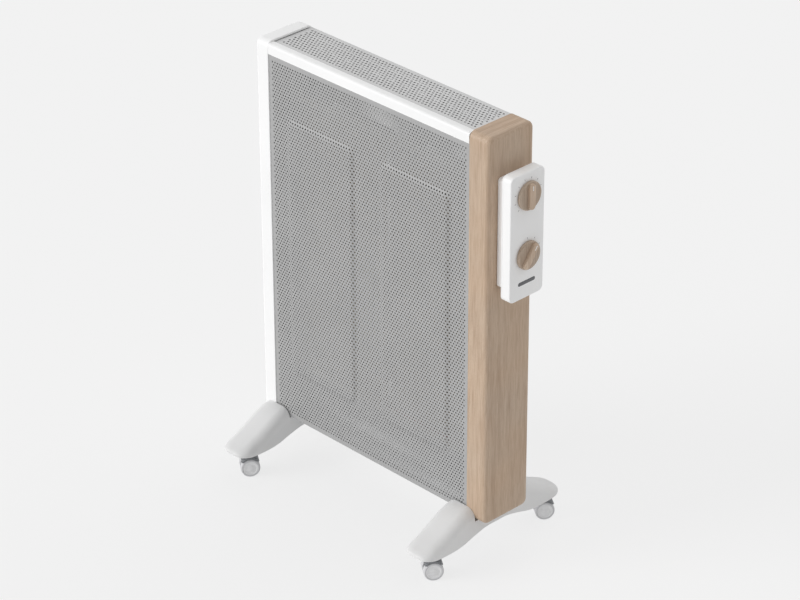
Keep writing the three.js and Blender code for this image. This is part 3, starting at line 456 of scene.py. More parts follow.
nodeSlots = {part["node"]: part["material_slot"] for part in frame["record"]["subparts"]}
nodeBodies = {node: body for body, group in frame["record"]["behaviour"]["bodies"].items()
              for node in group}
for nodeName, node in frame["nodes"].items():
    node.data.materials.clear()
    node.data.materials.append(looks[nodeSlots[nodeName]])
print("finishes made:", len(bpy.data.materials))


# Surfaces
creaseAngle = 35.0


def makePiece(name, points, faceSets, stands, look=None):
    # points is one array of corners. Each face set is an array with one row of corner numbers per
    # face. stands lists the nodes that the piece replaces; it takes their body and slot.
    faceSets = [np.asarray(faces) for faces in faceSets]
    corners = np.concatenate([faces.ravel() for faces in faceSets])
    sizes = np.concatenate([np.full(len(faces), faces.shape[1]) for faces in faceSets])
    mesh = bpy.data.meshes.new(name)
    mesh.vertices.add(len(points))
    mesh.vertices.foreach_set("co", np.asarray(points, np.float32).ravel())
    mesh.loops.add(len(corners))
    mesh.loops.foreach_set("vertex_index", corners.astype(np.int32))
    mesh.polygons.add(len(sizes))
    mesh.polygons.foreach_set("loop_start", (np.cumsum(sizes) - sizes).astype(np.int32))
    mesh.update(calc_edges=True)
    mesh.validate()
    mesh.polygons.foreach_set("use_smooth", np.ones(len(mesh.polygons), bool))
    mesh.set_sharp_from_angle(angle=math.radians(creaseAngle))
    mesh.materials.append(look or looks[nodeSlots[stands[0]]])
    piece = bpy.data.objects.new(name, mesh)
    bpy.context.scene.collection.objects.link(piece)
    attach(piece, nodeBodies[stands[0]])
    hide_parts(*stands)
    return piece


def loft(rings, capped=True):
    # Skin over rings of equal point counts: a quad joins each pair of neighbours on one ring to the
    # same pair on the next. Flat faces close the first and the last ring, or else they are joined.
    rings = np.asarray(rings, float)
    steps, count = rings.shape[:2]
    here = np.arange(count)
    after = np.roll(here, -1)
    start = np.arange(steps - 1 if capped else steps)[:, None] * count
    following = (start + count) % (steps * count)
    quads = np.stack([start + here, start + after, following + after, following + here], -1)
    ends = [np.stack([here[::-1], (steps - 1) * count + here])] if capped else []
    return rings.reshape(-1, 3), [quads.reshape(-1, 4), *ends]


def together(*parts):
    # Several closed skins as one list of points and face sets
    points, faceSets, offset = [], [], 0
    for partPoints, partFaces in parts:
        points.append(partPoints)
        faceSets += [np.asarray(faces) + offset for faces in partFaces]
        offset += len(partPoints)
    return np.concatenate(points), faceSets


def roundedRectangle(width, height, radius, steps):
    # Anticlockwise: each corner is a quarter circle about a centre one radius inside both sides
    quarter = np.linspace(0, math.pi / 2, steps + 1)
    turns = (np.arange(4)[:, None] - 1) * math.pi / 2 + quarter
    sides = np.array([[1, -1], [1, 1], [-1, 1], [-1, -1]])
    centres = sides * [width / 2 - radius, height / 2 - radius]
    corners = centres[:, None] + radius * np.stack([np.cos(turns), np.sin(turns)], -1)
    return corners.reshape(-1, 2)


def circle(radius, sides):
    # Anticlockwise from the first axis, without a repeated last point
    turn = np.arange(sides) * 2 * math.pi / sides
    return radius * np.stack([np.cos(turn), np.sin(turn)], -1)


def plate(x, z, width, height, radius, steps, inset=0.0, least=0.0):
    # Rounded rectangle across X with its middle at height z, drawn in by the inset on every side
    outline = roundedRectangle(width - 2 * inset, height - 2 * inset, max(radius - inset, least), steps)
    return np.stack([np.full(len(outline), x), outline[:, 0], z + outline[:, 1]], -1)


def easedEdge(radius, steps):
    # Quarter circle as pairs of (distance still to go, inset), both from 0 to the radius
    turn = np.linspace(0, math.pi / 2, steps + 1)
    return list(zip(radius * (1 - np.sin(turn)), radius * (1 - np.cos(turn))))


def lathe(profile, centre, way, sides, capped=True):
    # Ring of every (distance along X, radius) pair about an axis along X; way -1 turns it to face
    # the other way by half a turn about Z
    rings = [np.concatenate([np.full((sides, 1), along), circle(radius, sides)], 1)
             for along, radius in profile]
    points, faceSets = loft(rings, capped)
    points[:, :2] *= way
    return points + np.asarray(centre), faceSets


def column(profile, sides):
    # The same about an upright axis, where the profile's distances are heights
    points, faceSets = lathe(profile, (0, 0, 0), 1, sides)
    return points[:, [1, 2, 0]], faceSets


# End caps
cap = {"wall": 0.0025, "topWall": 0.0034, "corner": 0.010, "cornerSteps": 12, "edge": 0.0065,
       "edgeSteps": 10, "rim": 0.0006}


def endCap(name, node, way):
    # A hollow block: the skin starts on the pocket's floor, runs out along the pocket, round the rim
    # and back over the outside, then over the rounded edge on to the outer face
    low, high = boxOf(node)
    width, depth, height = high - low
    wall, rim, extra = cap["wall"], cap["rim"], cap["topWall"] - cap["wall"]
    stations = [(-wall, wall + rim, extra), (-wall - rim, wall, extra), (rim - width, wall, extra),
                (-width, wall - rim, extra), (-width, rim, 0), (rim - width, 0, 0)]
    stations += [(-away, inset, 0) for away, inset in easedEdge(cap["edge"], cap["edgeSteps"])]
    rings = [plate(along, -drop / 2, depth, height - drop, cap["corner"], cap["cornerSteps"], inset)
             for along, inset, drop in stations]
    points, faceSets = loft(rings)
    points[:, :2] *= way
    face = high[0] if way > 0 else low[0]
    return makePiece(name, points + [face, 0, (low[2] + high[2]) / 2], faceSets, [node])


endCap("left_cap_shell", "left_end_cap", -1)
endCap("right_cap_shell", "right_end_cap", 1)
print("end caps made")


# Perforated sheets. Staggered six-sided holes; the face folds back at both long edges.
frontMesh = {
    "pitch": 0.0050, "hole": 0.0027, "rim": 0.0035, "sheet": 0.0008, "fold": 0.0016, "flange": 0.012,
    "foldSteps": 4,
}
field = {"side": 0.033, "gap": 0.046, "bottom": 0.075, "top": 0.082, "rise": 0.003, "slope": 0.008,
         "corner": 0.014, "ease": 0.25}
topMesh = {
    "pitch": 0.0060, "hole": 0.0038, "rim": 0.004, "sheet": 0.0008, "fold": 0.0014, "flange": 0.0115,
    "foldSteps": 4,
}


def holedGrid(across, along, cells, rowKinds, holeRadius):
    # Points stand where the two lists of lines cross. A hole's cell is two columns wide and one row
    # high: its six outer points are joined by six quads to a six-sided ring round its middle. Column
    # 0 is a plain margin: row kind 0 starts cells at column 1, kind 1 at column 2, and -1 has none.
    grid = np.arange(len(across) * len(along)).reshape(len(along), len(across))
    flat = np.stack(np.meshgrid(across, along), -1).reshape(-1, 2)
    rowOf, columnOf = [], []
    for kind in (0, 1):
        rows = np.flatnonzero(rowKinds == kind)
        starts = 1 + kind + 2 * np.arange(cells - kind)
        rowOf.append(np.repeat(rows, len(starts)))
        columnOf.append(np.tile(starts, len(rows)))
    r, c = np.concatenate(rowOf), np.concatenate(columnOf)
    covered = np.zeros((len(along) - 1, len(across) - 1), bool)
    covered[r, c] = covered[r, c + 1] = True
    pr, pc = np.nonzero(~covered)
    plain = np.stack([grid[pr, pc], grid[pr, pc + 1], grid[pr + 1, pc + 1], grid[pr + 1, pc]], -1)
    outer = np.stack([grid[r, c], grid[r, c + 1], grid[r, c + 2],
                      grid[r + 1, c + 2], grid[r + 1, c + 1], grid[r + 1, c]], -1)
    turn = np.radians([210, 270, 330, 30, 90, 150])
    middle = np.stack([across[c + 1], (along[r] + along[r + 1]) / 2], -1)
    hole = middle[:, None] + holeRadius * np.stack([np.cos(turn), np.sin(turn)], -1)
    inner = len(flat) + np.arange(hole.shape[0] * 6).reshape(-1, 6)
    nextOuter, nextInner = np.roll(outer, -1, 1), np.roll(inner, -1, 1)
    collar = np.stack([outer, nextOuter, nextInner, inner], -1).reshape(-1, 4)
    flat = np.concatenate([flat, hole.reshape(-1, 2)])
    front = np.concatenate([plain, collar])
    count = len(flat)
    sides = np.stack([inner, nextInner, nextInner + count, inner + count], -1).reshape(-1, 4)
    loop = np.concatenate([grid[0, :-1], grid[:-1, -1], grid[-1, :0:-1], grid[:0:-1, 0]])
    after = np.roll(loop, -1)
    edge = np.stack([after, loop, loop + count, after + count], -1)
    return flat, [front, front[:, ::-1] + count, sides, edge]


def folded(flat, depth, span, look):
    # Place of flat points on the folded sheet: distance over the face, height outwards, and whether
    # they lie on the face. The strip runs up one flange, round a quarter circle, over the face and
    # down the other flange; depth lies inside the bend.
    bend, flange = look["fold"], look["flange"]
    w = flat[:, 1]
    w1 = flange + bend * math.pi / 2
    w2 = w1 + span - 2 * bend
    w3 = w2 + bend * math.pi / 2
    lowTurn = np.clip((w1 - w) / bend, 0, math.pi / 2)
    highTurn = np.clip((w - w2) / bend, 0, math.pi / 2)
    turn = np.where(w < w1, lowTurn, highTurn)
    reach = (bend - depth) * np.sin(turn)
    onFace = np.clip(w, w1, w2) - w1 + bend
    over = np.where(w < w1, bend - reach, np.where(w > w2, span - bend + reach, onFace))
    drop = np.clip(flange - w, 0, None) + np.clip(w - w3, 0, None)
    out = (bend - depth) * np.cos(turn) - bend - drop
    return over, out, (w >= w1) & (w <= w2)


def sheetLines(width, span, look):
    # The lines of a whole folded sheet: columns half a pitch apart and rows 0.866 of a pitch apart,
    # centred on the face, with the folds' own lines on both sides
    pitch = look["pitch"]
    cells = int((width - 2 * look["rim"]) / pitch)
    start = (width - cells * pitch) / 2
    across = np.concatenate([[0], start + np.arange(2 * cells + 1) * pitch / 2, [width]])
    row = pitch * math.sqrt(3) / 2
    face = span - 2 * look["fold"]
    rows = int((face - 2 * look["rim"]) / row)
    first = look["flange"] + look["fold"] * math.pi / 2
    arc = np.linspace(look["flange"], first, look["foldSteps"] + 1)
    lower = np.concatenate([[0], arc])
    holes = first + (face - rows * row) / 2 + np.arange(rows + 1) * row
    total = 2 * first + face
    along = np.concatenate([lower, holes, total - lower[::-1]])
    kinds = np.full(len(along) - 1, -1)
    kinds[len(lower):len(lower) + rows] = np.arange(rows) % 2
    return across, along, cells, kinds


def fieldRise(s, v, width, height):
    # Distance inside the nearer field's rounded outline, as a share of the slope's width, run
    # through a ramp with eased ends and times the rise
    fieldWidth = (width - 2 * field["side"] - field["gap"]) / 2
    offset = (field["gap"] + fieldWidth) / 2
    fieldHeight = height - field["bottom"] - field["top"]
    q = np.stack([np.abs(np.abs(s - width / 2) - offset) - fieldWidth / 2,
                  np.abs(v - field["bottom"] - fieldHeight / 2) - fieldHeight / 2], -1) + field["corner"]
    outside = np.linalg.norm(np.clip(q, 0, None), axis=-1) + np.minimum(q.max(-1), 0)
    t = np.clip((field["corner"] - outside) / field["slope"], 0, 1)
    k = field["ease"]
    ramp = np.where(t < k, t * t / (2 * k), np.where(t > 1 - k, 1 - k - (1 - t) ** 2 / (2 * k), t - k / 2))
    return field["rise"] * ramp / (1 - k)


def grilleSheet(name, node, way, part):
    # One half of a folded sheet, face across X and up Z, pushed outwards by the field's rise; way 1
    # looks to the front, and -1 is the same sheet turned round
    low, high = boxOf(node)
    width, height = high[0] - low[0], high[2] - low[2]
    across, along, cells, kinds = sheetLines(width, height, frontMesh)
    middle = len(along) // 2
    rows = slice(0, middle + 1) if part == "lower" else slice(middle, None)
    bands = slice(0, middle) if part == "lower" else slice(middle, None)
    flat, faceSets = holedGrid(across, along[rows], cells, kinds[bands], frontMesh["hole"] / 2)
    front = low[1] + field["rise"] if way > 0 else high[1] - field["rise"]
    layers = []
    for depth in (0.0, frontMesh["sheet"]):
        over, out, onFace = folded(flat, depth, height, frontMesh)
        out = out + np.where(onFace, fieldRise(flat[:, 0], over, width, height), 0)
        layers.append(np.stack([flat[:, 0] - width / 2, -out, over], -1))
    points = np.concatenate(layers)
    points[:, :2] *= way
    return makePiece(name, points + [(low[0] + high[0]) / 2, front, low[2]], faceSets, [node])


for half in ("lower", "upper"):
    grilleSheet(f"front_grille_{half}", "front_grille", 1, half)
    grilleSheet(f"rear_grille_{half}", "rear_grille", -1, half)
print("grilles made")


def topSheet():
    # Face across X and along Y, with both flanges hanging down
    low, high = boxOf("top_grille")
    width, span = high[0] - low[0], high[1] - low[1]
    across, along, cells, kinds = sheetLines(width, span, topMesh)
    flat, faceSets = holedGrid(across, along, cells, kinds, topMesh["hole"] / 2)
    layers = []
    for depth in (0.0, topMesh["sheet"]):
        over, out = folded(flat, depth, span, topMesh)[:2]
        layers.append(np.stack([flat[:, 0], over, out], -1))
    return makePiece("top_grille_sheet", np.concatenate(layers) + [low[0], low[1], high[2]], faceSets,
                     ["top_grille"])


topSheet()

# Bottom tray: a flat sheet with a field of staggered holes as its air inlet
tray = {"pitch": 0.0050, "hole": 0.0027, "side": 0.030, "edge": 0.014}


def traySheet():
    # Face across X and along Y, plain along all four edges
    low, high = boxOf("bottom_tray")
    width, depth = (high - low)[:2]
    pitch, row = tray["pitch"], tray["pitch"] * math.sqrt(3) / 2
    cells = int((width - 2 * tray["side"]) / pitch)
    rows = int((depth - 2 * tray["edge"]) / row)
    columns = (width - cells * pitch) / 2 + np.arange(2 * cells + 1) * pitch / 2
    lines = (depth - rows * row) / 2 + np.arange(rows + 1) * row
    across, along = np.concatenate([[0], columns, [width]]), np.concatenate([[0], lines, [depth]])
    kinds = np.concatenate([[-1], np.arange(rows) % 2, [-1]])
    flat, faceSets = holedGrid(across, along, cells, kinds, tray["hole"] / 2)
    layers = [np.concatenate([flat + low[:2], np.full((len(flat), 1), z)], 1) for z in (high[2], low[2])]
    return makePiece("bottom_tray_sheet", np.concatenate(layers), faceSets, ["bottom_tray"])


traySheet()


def channel(outer, inner):
    # An open channel. outer and inner are stations by points, equally many; the section runs out
    # along the outer path and back along the inner one, and strips of quads close both ends.
    section = np.concatenate([outer, inner[:, ::-1]], 1)
    points, faceSets = loft(section)
    steps, count = section.shape[:2]
    half = count // 2
    i = np.arange(half - 1)
    strip = np.stack([i, i + 1, count - 2 - i, count - 1 - i], -1)
    return points, [faceSets[0], strip[:, ::-1], strip + (steps - 1) * count]


rail = {"wall": 0.0016, "front": 0.004, "back": 0.0012, "leastRadius": 0.0002, "steps": 8}


def frontRail():
    # Quarter round over the front edge, flat on top, with a small radius behind; the inner path is
    # the same one drawn in by the wall
    low, high = boxOf("front_top_rail")
    depth, height = high[1] - low[1], high[2] - low[2]

    def path(inset):
        line = [np.array([[inset, 0]])]
        for radius, across, start, inwards in ((rail["front"], rail["front"], math.pi, 1),
                                               (rail["back"], depth - rail["back"], math.pi / 2, -1)):
            turn = np.linspace(start, start - math.pi / 2, rail["steps"] + 1)
            size = max(radius - inset, rail["leastRadius"])
            shift = inset - (radius - size)
            middle = np.array([across + inwards * shift, height - radius - shift])
            line.append(middle + size * np.stack([np.cos(turn), np.sin(turn)], -1))
        line.append(np.array([[depth - inset, 0]]))
        return np.concatenate(line)

    outer, inner = path(0.0), path(rail["wall"])
    stations = [low[0], high[0]]
    stand = [[np.concatenate([np.full((len(side), 1), x), side + [low[1], low[2]]], 1) for x in stations]
             for side in (outer[::-1], inner[::-1])]
    points, faceSets = channel(np.array(stand[0]), np.array(stand[1]))
    return makePiece("front_rail_strip", points, faceSets, ["front_top_rail"])


frontRail()
print("top made")


# Cross feet: rows are distance from the middle, roof, lower edge and width, as shares of the
# foot's reach, top height and full width
footShares = np.array([
    [1.000, 0.523, 0.477, 0.360],
    [0.985, 0.543, 0.474, 0.620],
    [0.955, 0.568, 0.469, 0.800],
    [0.915, 0.593, 0.462, 0.920],
    [0.860, 0.632, 0.453, 0.985],
    [0.742, 0.718, 0.444, 1.000],
    [0.600, 0.839, 0.446, 1.000],
    [0.470, 0.940, 0.471, 1.000],
    [0.340, 1.000, 0.529, 1.000],
    [0.160, 1.000, 0.592, 1.000],
    [0.000, 1.000, 0.598, 1.000],
])
footForm = {
    "wall": 0.0026, "shoulder": 0.015, "shoulderShare": 0.8, "leastShoulder": 0.0003,
    "splitShares": (0.99, 0.98), "nudge": 0.00001, "steps": 12, "between": 5, "clear": 0.0003,
    "bossRadius": 0.0075, "bossTop": 0.0008, "bossCap": 0.001, "bossSides": 40, "stemRadius": 0.0043,
}


def smoothRows(rows, between):
    # Curve through the rows: cubic pieces whose slope at each row is half the step between its
    # neighbours. The last row is the foot's middle, so its own mirror image follows it.
    padded = np.concatenate([[2 * rows[0] - rows[1]], rows, [rows[-2] * [-1, 1, 1, 1]]])
    p0, p1, p2, p3 = padded[:-3], padded[1:-2], padded[2:-1], padded[3:]
    t = (np.arange(between) / between)[None, :, None]
    a, b, c, d = (p[:, None] for p in (p0, p1, p2, p3))
    curve = 0.5 * (2 * b + (c - a) * t + (2 * a - 5 * b + 4 * c - d) * t ** 2
                   + (3 * b - a - 3 * c + d) * t ** 3)
    return np.concatenate([curve.reshape(-1, rows.shape[1]), rows[-1:]])


def footSection(y, roof, lower, width, inset, levels, split):
    # Up one side, over a quarter ellipse, the roof and another quarter ellipse and down, in the plane
    # across Y. Two roof points stand close to split, one on each side. Points under the casing are
    # held down to the level given for their side of split.
    turn = np.linspace(0, math.pi / 2, footForm["steps"] + 1)
    half, shoulder = width / 2 - inset, footForm["shoulder"] - inset
    across = np.minimum(shoulder, half * footForm["shoulderShare"])
    down = np.minimum(shoulder, (roof - inset - lower) * footForm["shoulderShare"])
    across, down = (np.maximum(size, footForm["leastShoulder"]) for size in (across, down))
    top = roof - inset
    arcX = (half - across)[:, None] + across[:, None] * np.cos(turn)
    arcZ = (top - down)[:, None] + down[:, None] * np.sin(turn)
    flatHalf = half - across
    beside = (split + footForm["nudge"], split - footForm["nudge"])
    flatX = np.stack([np.clip(place, -flatHalf * share, flatHalf * share)
                      for place, share in zip(beside, footForm["splitShares"])], -1)
    flatZ = np.tile(top[:, None], (1, 2))
    x = np.concatenate([half[:, None], arcX, flatX, -arcX[:, ::-1], -half[:, None]], 1)
    z = np.concatenate([lower[:, None], arcZ, flatZ, arcZ[:, ::-1], lower[:, None]], 1)
    limit = np.where(x > split, levels[1], levels[0])
    under = np.abs(y)[:, None] <= levels[2]
    z = np.where(under, np.minimum(z, limit - inset), z)
    return np.stack([x, np.tile(y[:, None], (1, x.shape[1])), z], -1)


def footHood(name, node, side):
    # An arched channel: the rows' curve gives roof, lower edge and width along Y, with close pairs of
    # sections where the casing's faces and the end walls stand. Both ends are solid for one wall's
    # depth, and a round boss hangs from the roof over each castor's stem.
    low, high = boxOf(node)
    middle, reach, top, width = (low[0] + high[0]) / 2, high[1], high[2], high[0] - low[0]
    gap = footForm["clear"]
    capFloor, trayFloor = leftCapLow[2] - gap, boxOf("front_grille")[0][2] - gap
    casingHalf = leftCapHigh[1] + gap
    split = (leftCapHigh[0] if side == "left" else rightCapLow[0]) - middle
    levels = (capFloor, trayFloor, casingHalf) if side == "left" else (trayFloor, capFloor, casingHalf)
    rows = smoothRows(footShares, footForm["between"])
    rows = np.concatenate([rows, rows[-2::-1] * [-1, 1, 1, 1]])
    wallAt = reach - footForm["wall"]
    faces = np.array([-casingHalf, casingHalf, -wallAt, wallAt])
    y = np.sort(np.concatenate([rows[:, 0] * reach, faces - footForm["nudge"], faces + footForm["nudge"]]))
    order = np.argsort(rows[:, 0])
    roof, lower, wide = (np.interp(y, rows[order, 0] * reach, rows[order, k]) for k in (1, 2, 3))
    roof, lower, wide = roof * top, lower * top, wide * width
    outer = footSection(y, roof, lower, wide, 0.0, levels, split)
    ceiling = np.minimum(roof, capFloor)
    inner = footSection(y, ceiling, lower, wide, footForm["wall"], levels, split)
    solid = (np.abs(y) > wallAt)[:, None]
    inner[..., 2] = np.where(solid, lower[:, None], inner[..., 2])
    hood = channel(outer[:, ::-1], inner[:, ::-1])
    bosses = []
    for end in ("front", "rear"):
        stem = joints[f"castor_swivel_{end}_{side}"]["pos_m"]
        outerEdge = abs(stem[1]) + footForm["bossRadius"]
        rise = np.interp(outerEdge, y[len(y) // 2:], roof[len(y) // 2:])
        floor = stem[2] + footForm["clear"]
        roofUnder = rise - footForm["bossTop"]
        profile = [(roofUnder - footForm["bossCap"], footForm["stemRadius"]),
                   (floor, footForm["stemRadius"]), (floor, footForm["bossRadius"]),
                   (roofUnder, footForm["bossRadius"])]
        bossPoints, bossFaces = column(profile, footForm["bossSides"])
        bosses.append((bossPoints + [0, stem[1], 0], bossFaces))
    points, faceSets = together(hood, *bosses)
    return makePiece(name, points + [middle, 0, 0], faceSets, [node])


for footSide in ("left", "right"):
    footHood(f"foot_hood_{footSide}", f"foot_{footSide}", footSide)
print("feet made")


# Castors
wheel = {
    "width": 0.025, "thick": 0.0095, "edge": 0.0018, "edgeSteps": 5, "bevel": 0.0005, "tyre": 0.0029,
    "bore": 0.0023, "boreEnd": 0.0008, "hubWall": 0.003, "rim": 0.0013, "dish": 0.0011,
    "capRadius": 0.0044, "sides": 72,
}
tyreLook = moulding("grey wheel tyre", (214, 214, 216), 0.55, 0.0006)
cadWheelFlats = 20  # the CAD wheel stands on a flat, so its corners are further from the axle


def alongAxle(points, joint):
    # Turns points drawn with their axle along X to the joint's own axis
    x, y = joint["axis"][:2]
    return points @ np.array([[x, y, 0], [-y, x, 0], [0, 0, 1]])


def castorWheel(place, which):
    # Two profiles turned about the axle: a soft tyre with quarter-round edges, and a hard hub whose
    # outer face is dished and has a low cap in the middle
    node = f"castor_wheel_{place}_{which}"
    joint = joints[f"wheel_spin_{place}_{which}"]
    axle = np.array(joint["pos_m"])
    way = 1 if which == "right" else -1
    centre = (way * (wheel["width"] / 2 - wheel["thick"]), 0, 0)
    radius, face, seat = axle[2], wheel["thick"], axle[2] - wheel["tyre"]
    bevel = wheel["bevel"]
    rounded = easedEdge(wheel["edge"], wheel["edgeSteps"])
    profile = [(bevel, seat), (0, seat + bevel)]
    profile += [(away, radius - inset) for away, inset in rounded[::-1]]
    profile += [(face - away, radius - inset) for away, inset in rounded]
    profile += [(face, seat + bevel), (face - bevel, seat)]
    points, faceSets = lathe(profile, centre, way, wheel["sides"], False)
    makePiece(f"wheel_tyre_{place}_{which}", alongAxle(points, joint) + axle, faceSets, [node], tyreLook)

    bore, boreFloor, dish = wheel["bore"], face - wheel["hubWall"], face - wheel["dish"]
    rim, capRadius = seat - wheel["rim"], wheel["capRadius"]
    profile = [(boreFloor, wheel["boreEnd"]), (boreFloor, bore), (2 * bevel, bore), (2 * bevel, seat),
               (face - bevel, seat), (face - bevel / 2, seat - bevel / 2), (face - bevel / 2, rim),
               (face - bevel, rim - bevel / 2), (dish, rim - 2 * bevel), (dish, capRadius + bevel),
               (dish + bevel / 2, capRadius), (face - bevel, capRadius - bevel),
               (face - bevel / 2, capRadius - 3 * bevel), (face - bevel / 2, bevel)]
    points, faceSets = lathe(profile, centre, way, wheel["sides"])
    makePiece(f"wheel_hub_{place}_{which}", alongAxle(points, joint) + axle, faceSets, [node])


castor = {
    "webHalf": 0.0027, "boss": 0.005, "bossSteps": 20, "headFront": 0.006, "headBack": 0.005,
    "headRise": 0.0055, "edge": 0.0006, "hoodGap": 0.0008, "hoodWall": 0.002, "hoodSpan": 96,
    "hoodSteps": 36, "neck": 0.011, "neckRadius": 0.007, "neckCore": 0.004, "neckEdge": 0.0004,
    "stem": 0.0085, "stemRadius": 0.004, "stemCore": 0.001, "sides": 48,
}


def bandAcross(outline, half, ease):
    # Closed outline in the YZ plane carried along X, drawn in towards its middle by ease at both ends
    rings = []
    for x, inset in [(-half, ease), (ease / 3 - half, ease / 3), (ease - half, 0), (half - ease, 0),
                     (half - ease / 3, ease / 3), (half, ease)]:
        drawn = outline(inset)
        rings.append(np.stack([np.full(len(drawn), x), drawn[:, 0], drawn[:, 1]], -1))
    return loft(rings)


def castorFrame(place):
    # Web between the wheels, its outline a half circle under the axle joined to two points inside the
    # neck, with a band of two arcs about the axle as a hood over the wheels, and a round neck and stem
    node = f"castor_body_{place}"
    stem = np.array(joints[f"castor_swivel_{place}"]["pos_m"])
    joint = joints[f"wheel_spin_{place}_left"]
    axle = np.array(joint["pos_m"])
    trail = np.hypot(*(axle - stem)[:2])
    neckFloor = stem[2] - castor["neck"]
    turn = np.linspace(math.pi, 2 * math.pi, castor["bossSteps"] + 1)
    boss = np.stack([trail + castor["boss"] * np.cos(turn), axle[2] + castor["boss"] * np.sin(turn)], -1)
    headTop = neckFloor + castor["headRise"]
    head = np.array([[castor["headFront"], headTop], [-castor["headBack"], headTop]])
    webLine = np.concatenate([boss, head])
    centre = webLine.mean(0)
    steps = castor["hoodSteps"]
    sweep = np.radians(90 + castor["hoodSpan"] * (np.arange(steps + 1) / steps - 0.5))
    ray = np.stack([np.cos(sweep), np.sin(sweep)], -1)
    inner = axle[2] / math.cos(math.pi / cadWheelFlats) + castor["hoodGap"]
    outer = inner + castor["hoodWall"]

    def webAt(inset):
        away = webLine - centre
        return centre + away * (1 - inset / np.linalg.norm(away, axis=1, keepdims=True))

    def hoodAt(inset):
        return np.concatenate([ray * (outer - inset), ray[::-1] * (inner + inset)]) + [trail, axle[2]]

    web = bandAcross(webAt, castor["webHalf"], castor["edge"])
    # The hood takes the frame's mid grey, which also stands as painted shade in the gap between wheel and foot
    hood = bandAcross(hoodAt, wheel["width"] / 2, castor["edge"])
    neck, radius, edge = castor["neck"], castor["neckRadius"], castor["neckEdge"]
    top = neck + castor["stem"]
    profile = [(0, castor["neckCore"]), (0, radius - edge), (edge, radius), (neck - edge, radius),
               (neck, radius - edge), (neck, castor["stemRadius"]), (top, castor["stemRadius"]),
               (top, castor["stemCore"])]
    neckPoints, neckFaces = column(profile, castor["sides"])
    points, faceSets = together(web, hood, (neckPoints + [0, 0, neckFloor], neckFaces))
    points = alongAxle(points, joint) + [stem[0], stem[1], 0]
    return makePiece(f"castor_frame_{place}", points, faceSets, [node])


for footSide in ("left", "right"):
    for end in ("front", "rear"):
        castorFrame(f"{end}_{footSide}")
        for which in ("left", "right"):
            castorWheel(f"{end}_{footSide}", which)
print("castors made")


# Control box
box = {
    "wall": 0.0025, "baseWidth": 0.050, "baseTopInset": 0.010, "baseBottomInset": 0.014,
    "baseRadius": 0.004, "leastRadius": 0.001, "baseEdge": 0.0006, "flange": 0.002, "radius": 0.008,
    "cornerSteps": 10, "edge": 0.002, "edgeSteps": 6, "frontCornerSteps": 12,
}


def controlBack():
    # Rounded rectangles carried along X: the narrow body, then the wider flange, then the pocket
    low, high = boxOf("control_base")
    width, height = high[1] - low[1], high[2] - low[2]
    bodyHeight = height - box["baseTopInset"] - box["baseBottomInset"]
    bodyMiddle = (low[2] + box["baseBottomInset"] + high[2] - box["baseTopInset"]) / 2
    middle = (low[2] + high[2]) / 2
    wall, ease, steps = box["wall"], box["baseEdge"], box["cornerSteps"]

    def body(x, inset):
        return plate(x, bodyMiddle, box["baseWidth"], bodyHeight, box["baseRadius"], steps, inset,
                     box["leastRadius"])

    def flange(x, inset):
        return plate(x, middle, width, height, box["radius"], steps, inset)

    back, front = low[0], high[0]
    rings = [body(back, ease), body(back + ease, 0), body(front - box["flange"], 0),
             flange(front - box["flange"], ease), flange(front - box["flange"] + ease, 0),
             flange(front, 0), body(front, wall), body(back + wall, wall)]
    points, faceSets = loft(rings)
    return makePiece("control_back_shell", points, faceSets, ["control_base"])


def controlFront():
    # Rounded rectangles from the pocket's floor out over the rim, then a quarter-round front edge
    low, high = boxOf("control_fascia")
    depth, width, height = high - low
    wall = box["wall"]
    stations = [(-wall, wall), (-depth, wall), (-depth, 0.0)]
    stations += [(-away, inset) for away, inset in easedEdge(box["edge"], box["edgeSteps"])]
    rings = [plate(along, 0, width, height, box["radius"], box["frontCornerSteps"], inset)
             for along, inset in stations]
    points, faceSets = loft(rings)
    return makePiece("control_front_shell", points + [high[0], 0, (low[2] + high[2]) / 2], faceSets,
                     ["control_fascia"])


controlBack()
controlFront()

windowForm = {"width": 0.032, "height": 0.006, "proud": 0.0003, "edge": 0.0002, "domeInset": 0.0006,
              "topInset": 0.0014, "endFlat": 0.0001, "steps": 10}


def signalWindow():
    # Smoked lens with rounded ends in a slot of the fascia: outlines that draw in towards a low dome
    low, high = boxOf("signal_window")
    middle = (low[2] + high[2]) / 2
    width, height, edge, proud = (windowForm[k] for k in ("width", "height", "edge", "proud"))
    radius, front = height / 2 - windowForm["endFlat"], high[0]
    stations = [(low[0], 0.0), (front - edge, 0.0), (front, edge),
                (front + proud / 2, windowForm["domeInset"]), (front + proud, windowForm["topInset"])]
    points, faceSets = loft([plate(x, middle, width, height, radius, windowForm["steps"], inset)
                             for x, inset in stations])
    return makePiece("signal_lens", points, faceSets, ["signal_window"])


signalWindow()

knob = {
    "radius": 0.020, "core": 0.003, "backEdge": 0.0008, "disc": 0.005, "edge": 0.0016, "edgeSteps": 6,
    "dishRadius": 0.0176, "dish": 0.0003, "dishSlope": 0.0005, "dishCore": 0.001, "sides": 96,
    "gripWidth": 0.010, "gripLength": 0.0366, "gripTop": 0.0093, "gripEdge": 0.0015, "gripSteps": 5,
    "gripSunk": 0.001, "gripEndFlat": 0.0001, "cornerSteps": 10, "markWidth": 0.0012,
    "markLength": 0.007, "markRise": 0.00015, "markSunk": 0.0004, "markInset": 0.001,
    "markCornerShare": 0.45, "markSteps": 6, "thermostatAt": 0, "powerAt": -35,
}


def turnAboutAxis(points, centre, degrees):
    # Turn about an axis along X
    turn = math.radians(degrees)
    y, z = points[:, 1] - centre[1], points[:, 2] - centre[2]
    points[:, 1] = centre[1] + y * math.cos(turn) - z * math.sin(turn)
    points[:, 2] = centre[2] + y * math.sin(turn) + z * math.cos(turn)
    return points


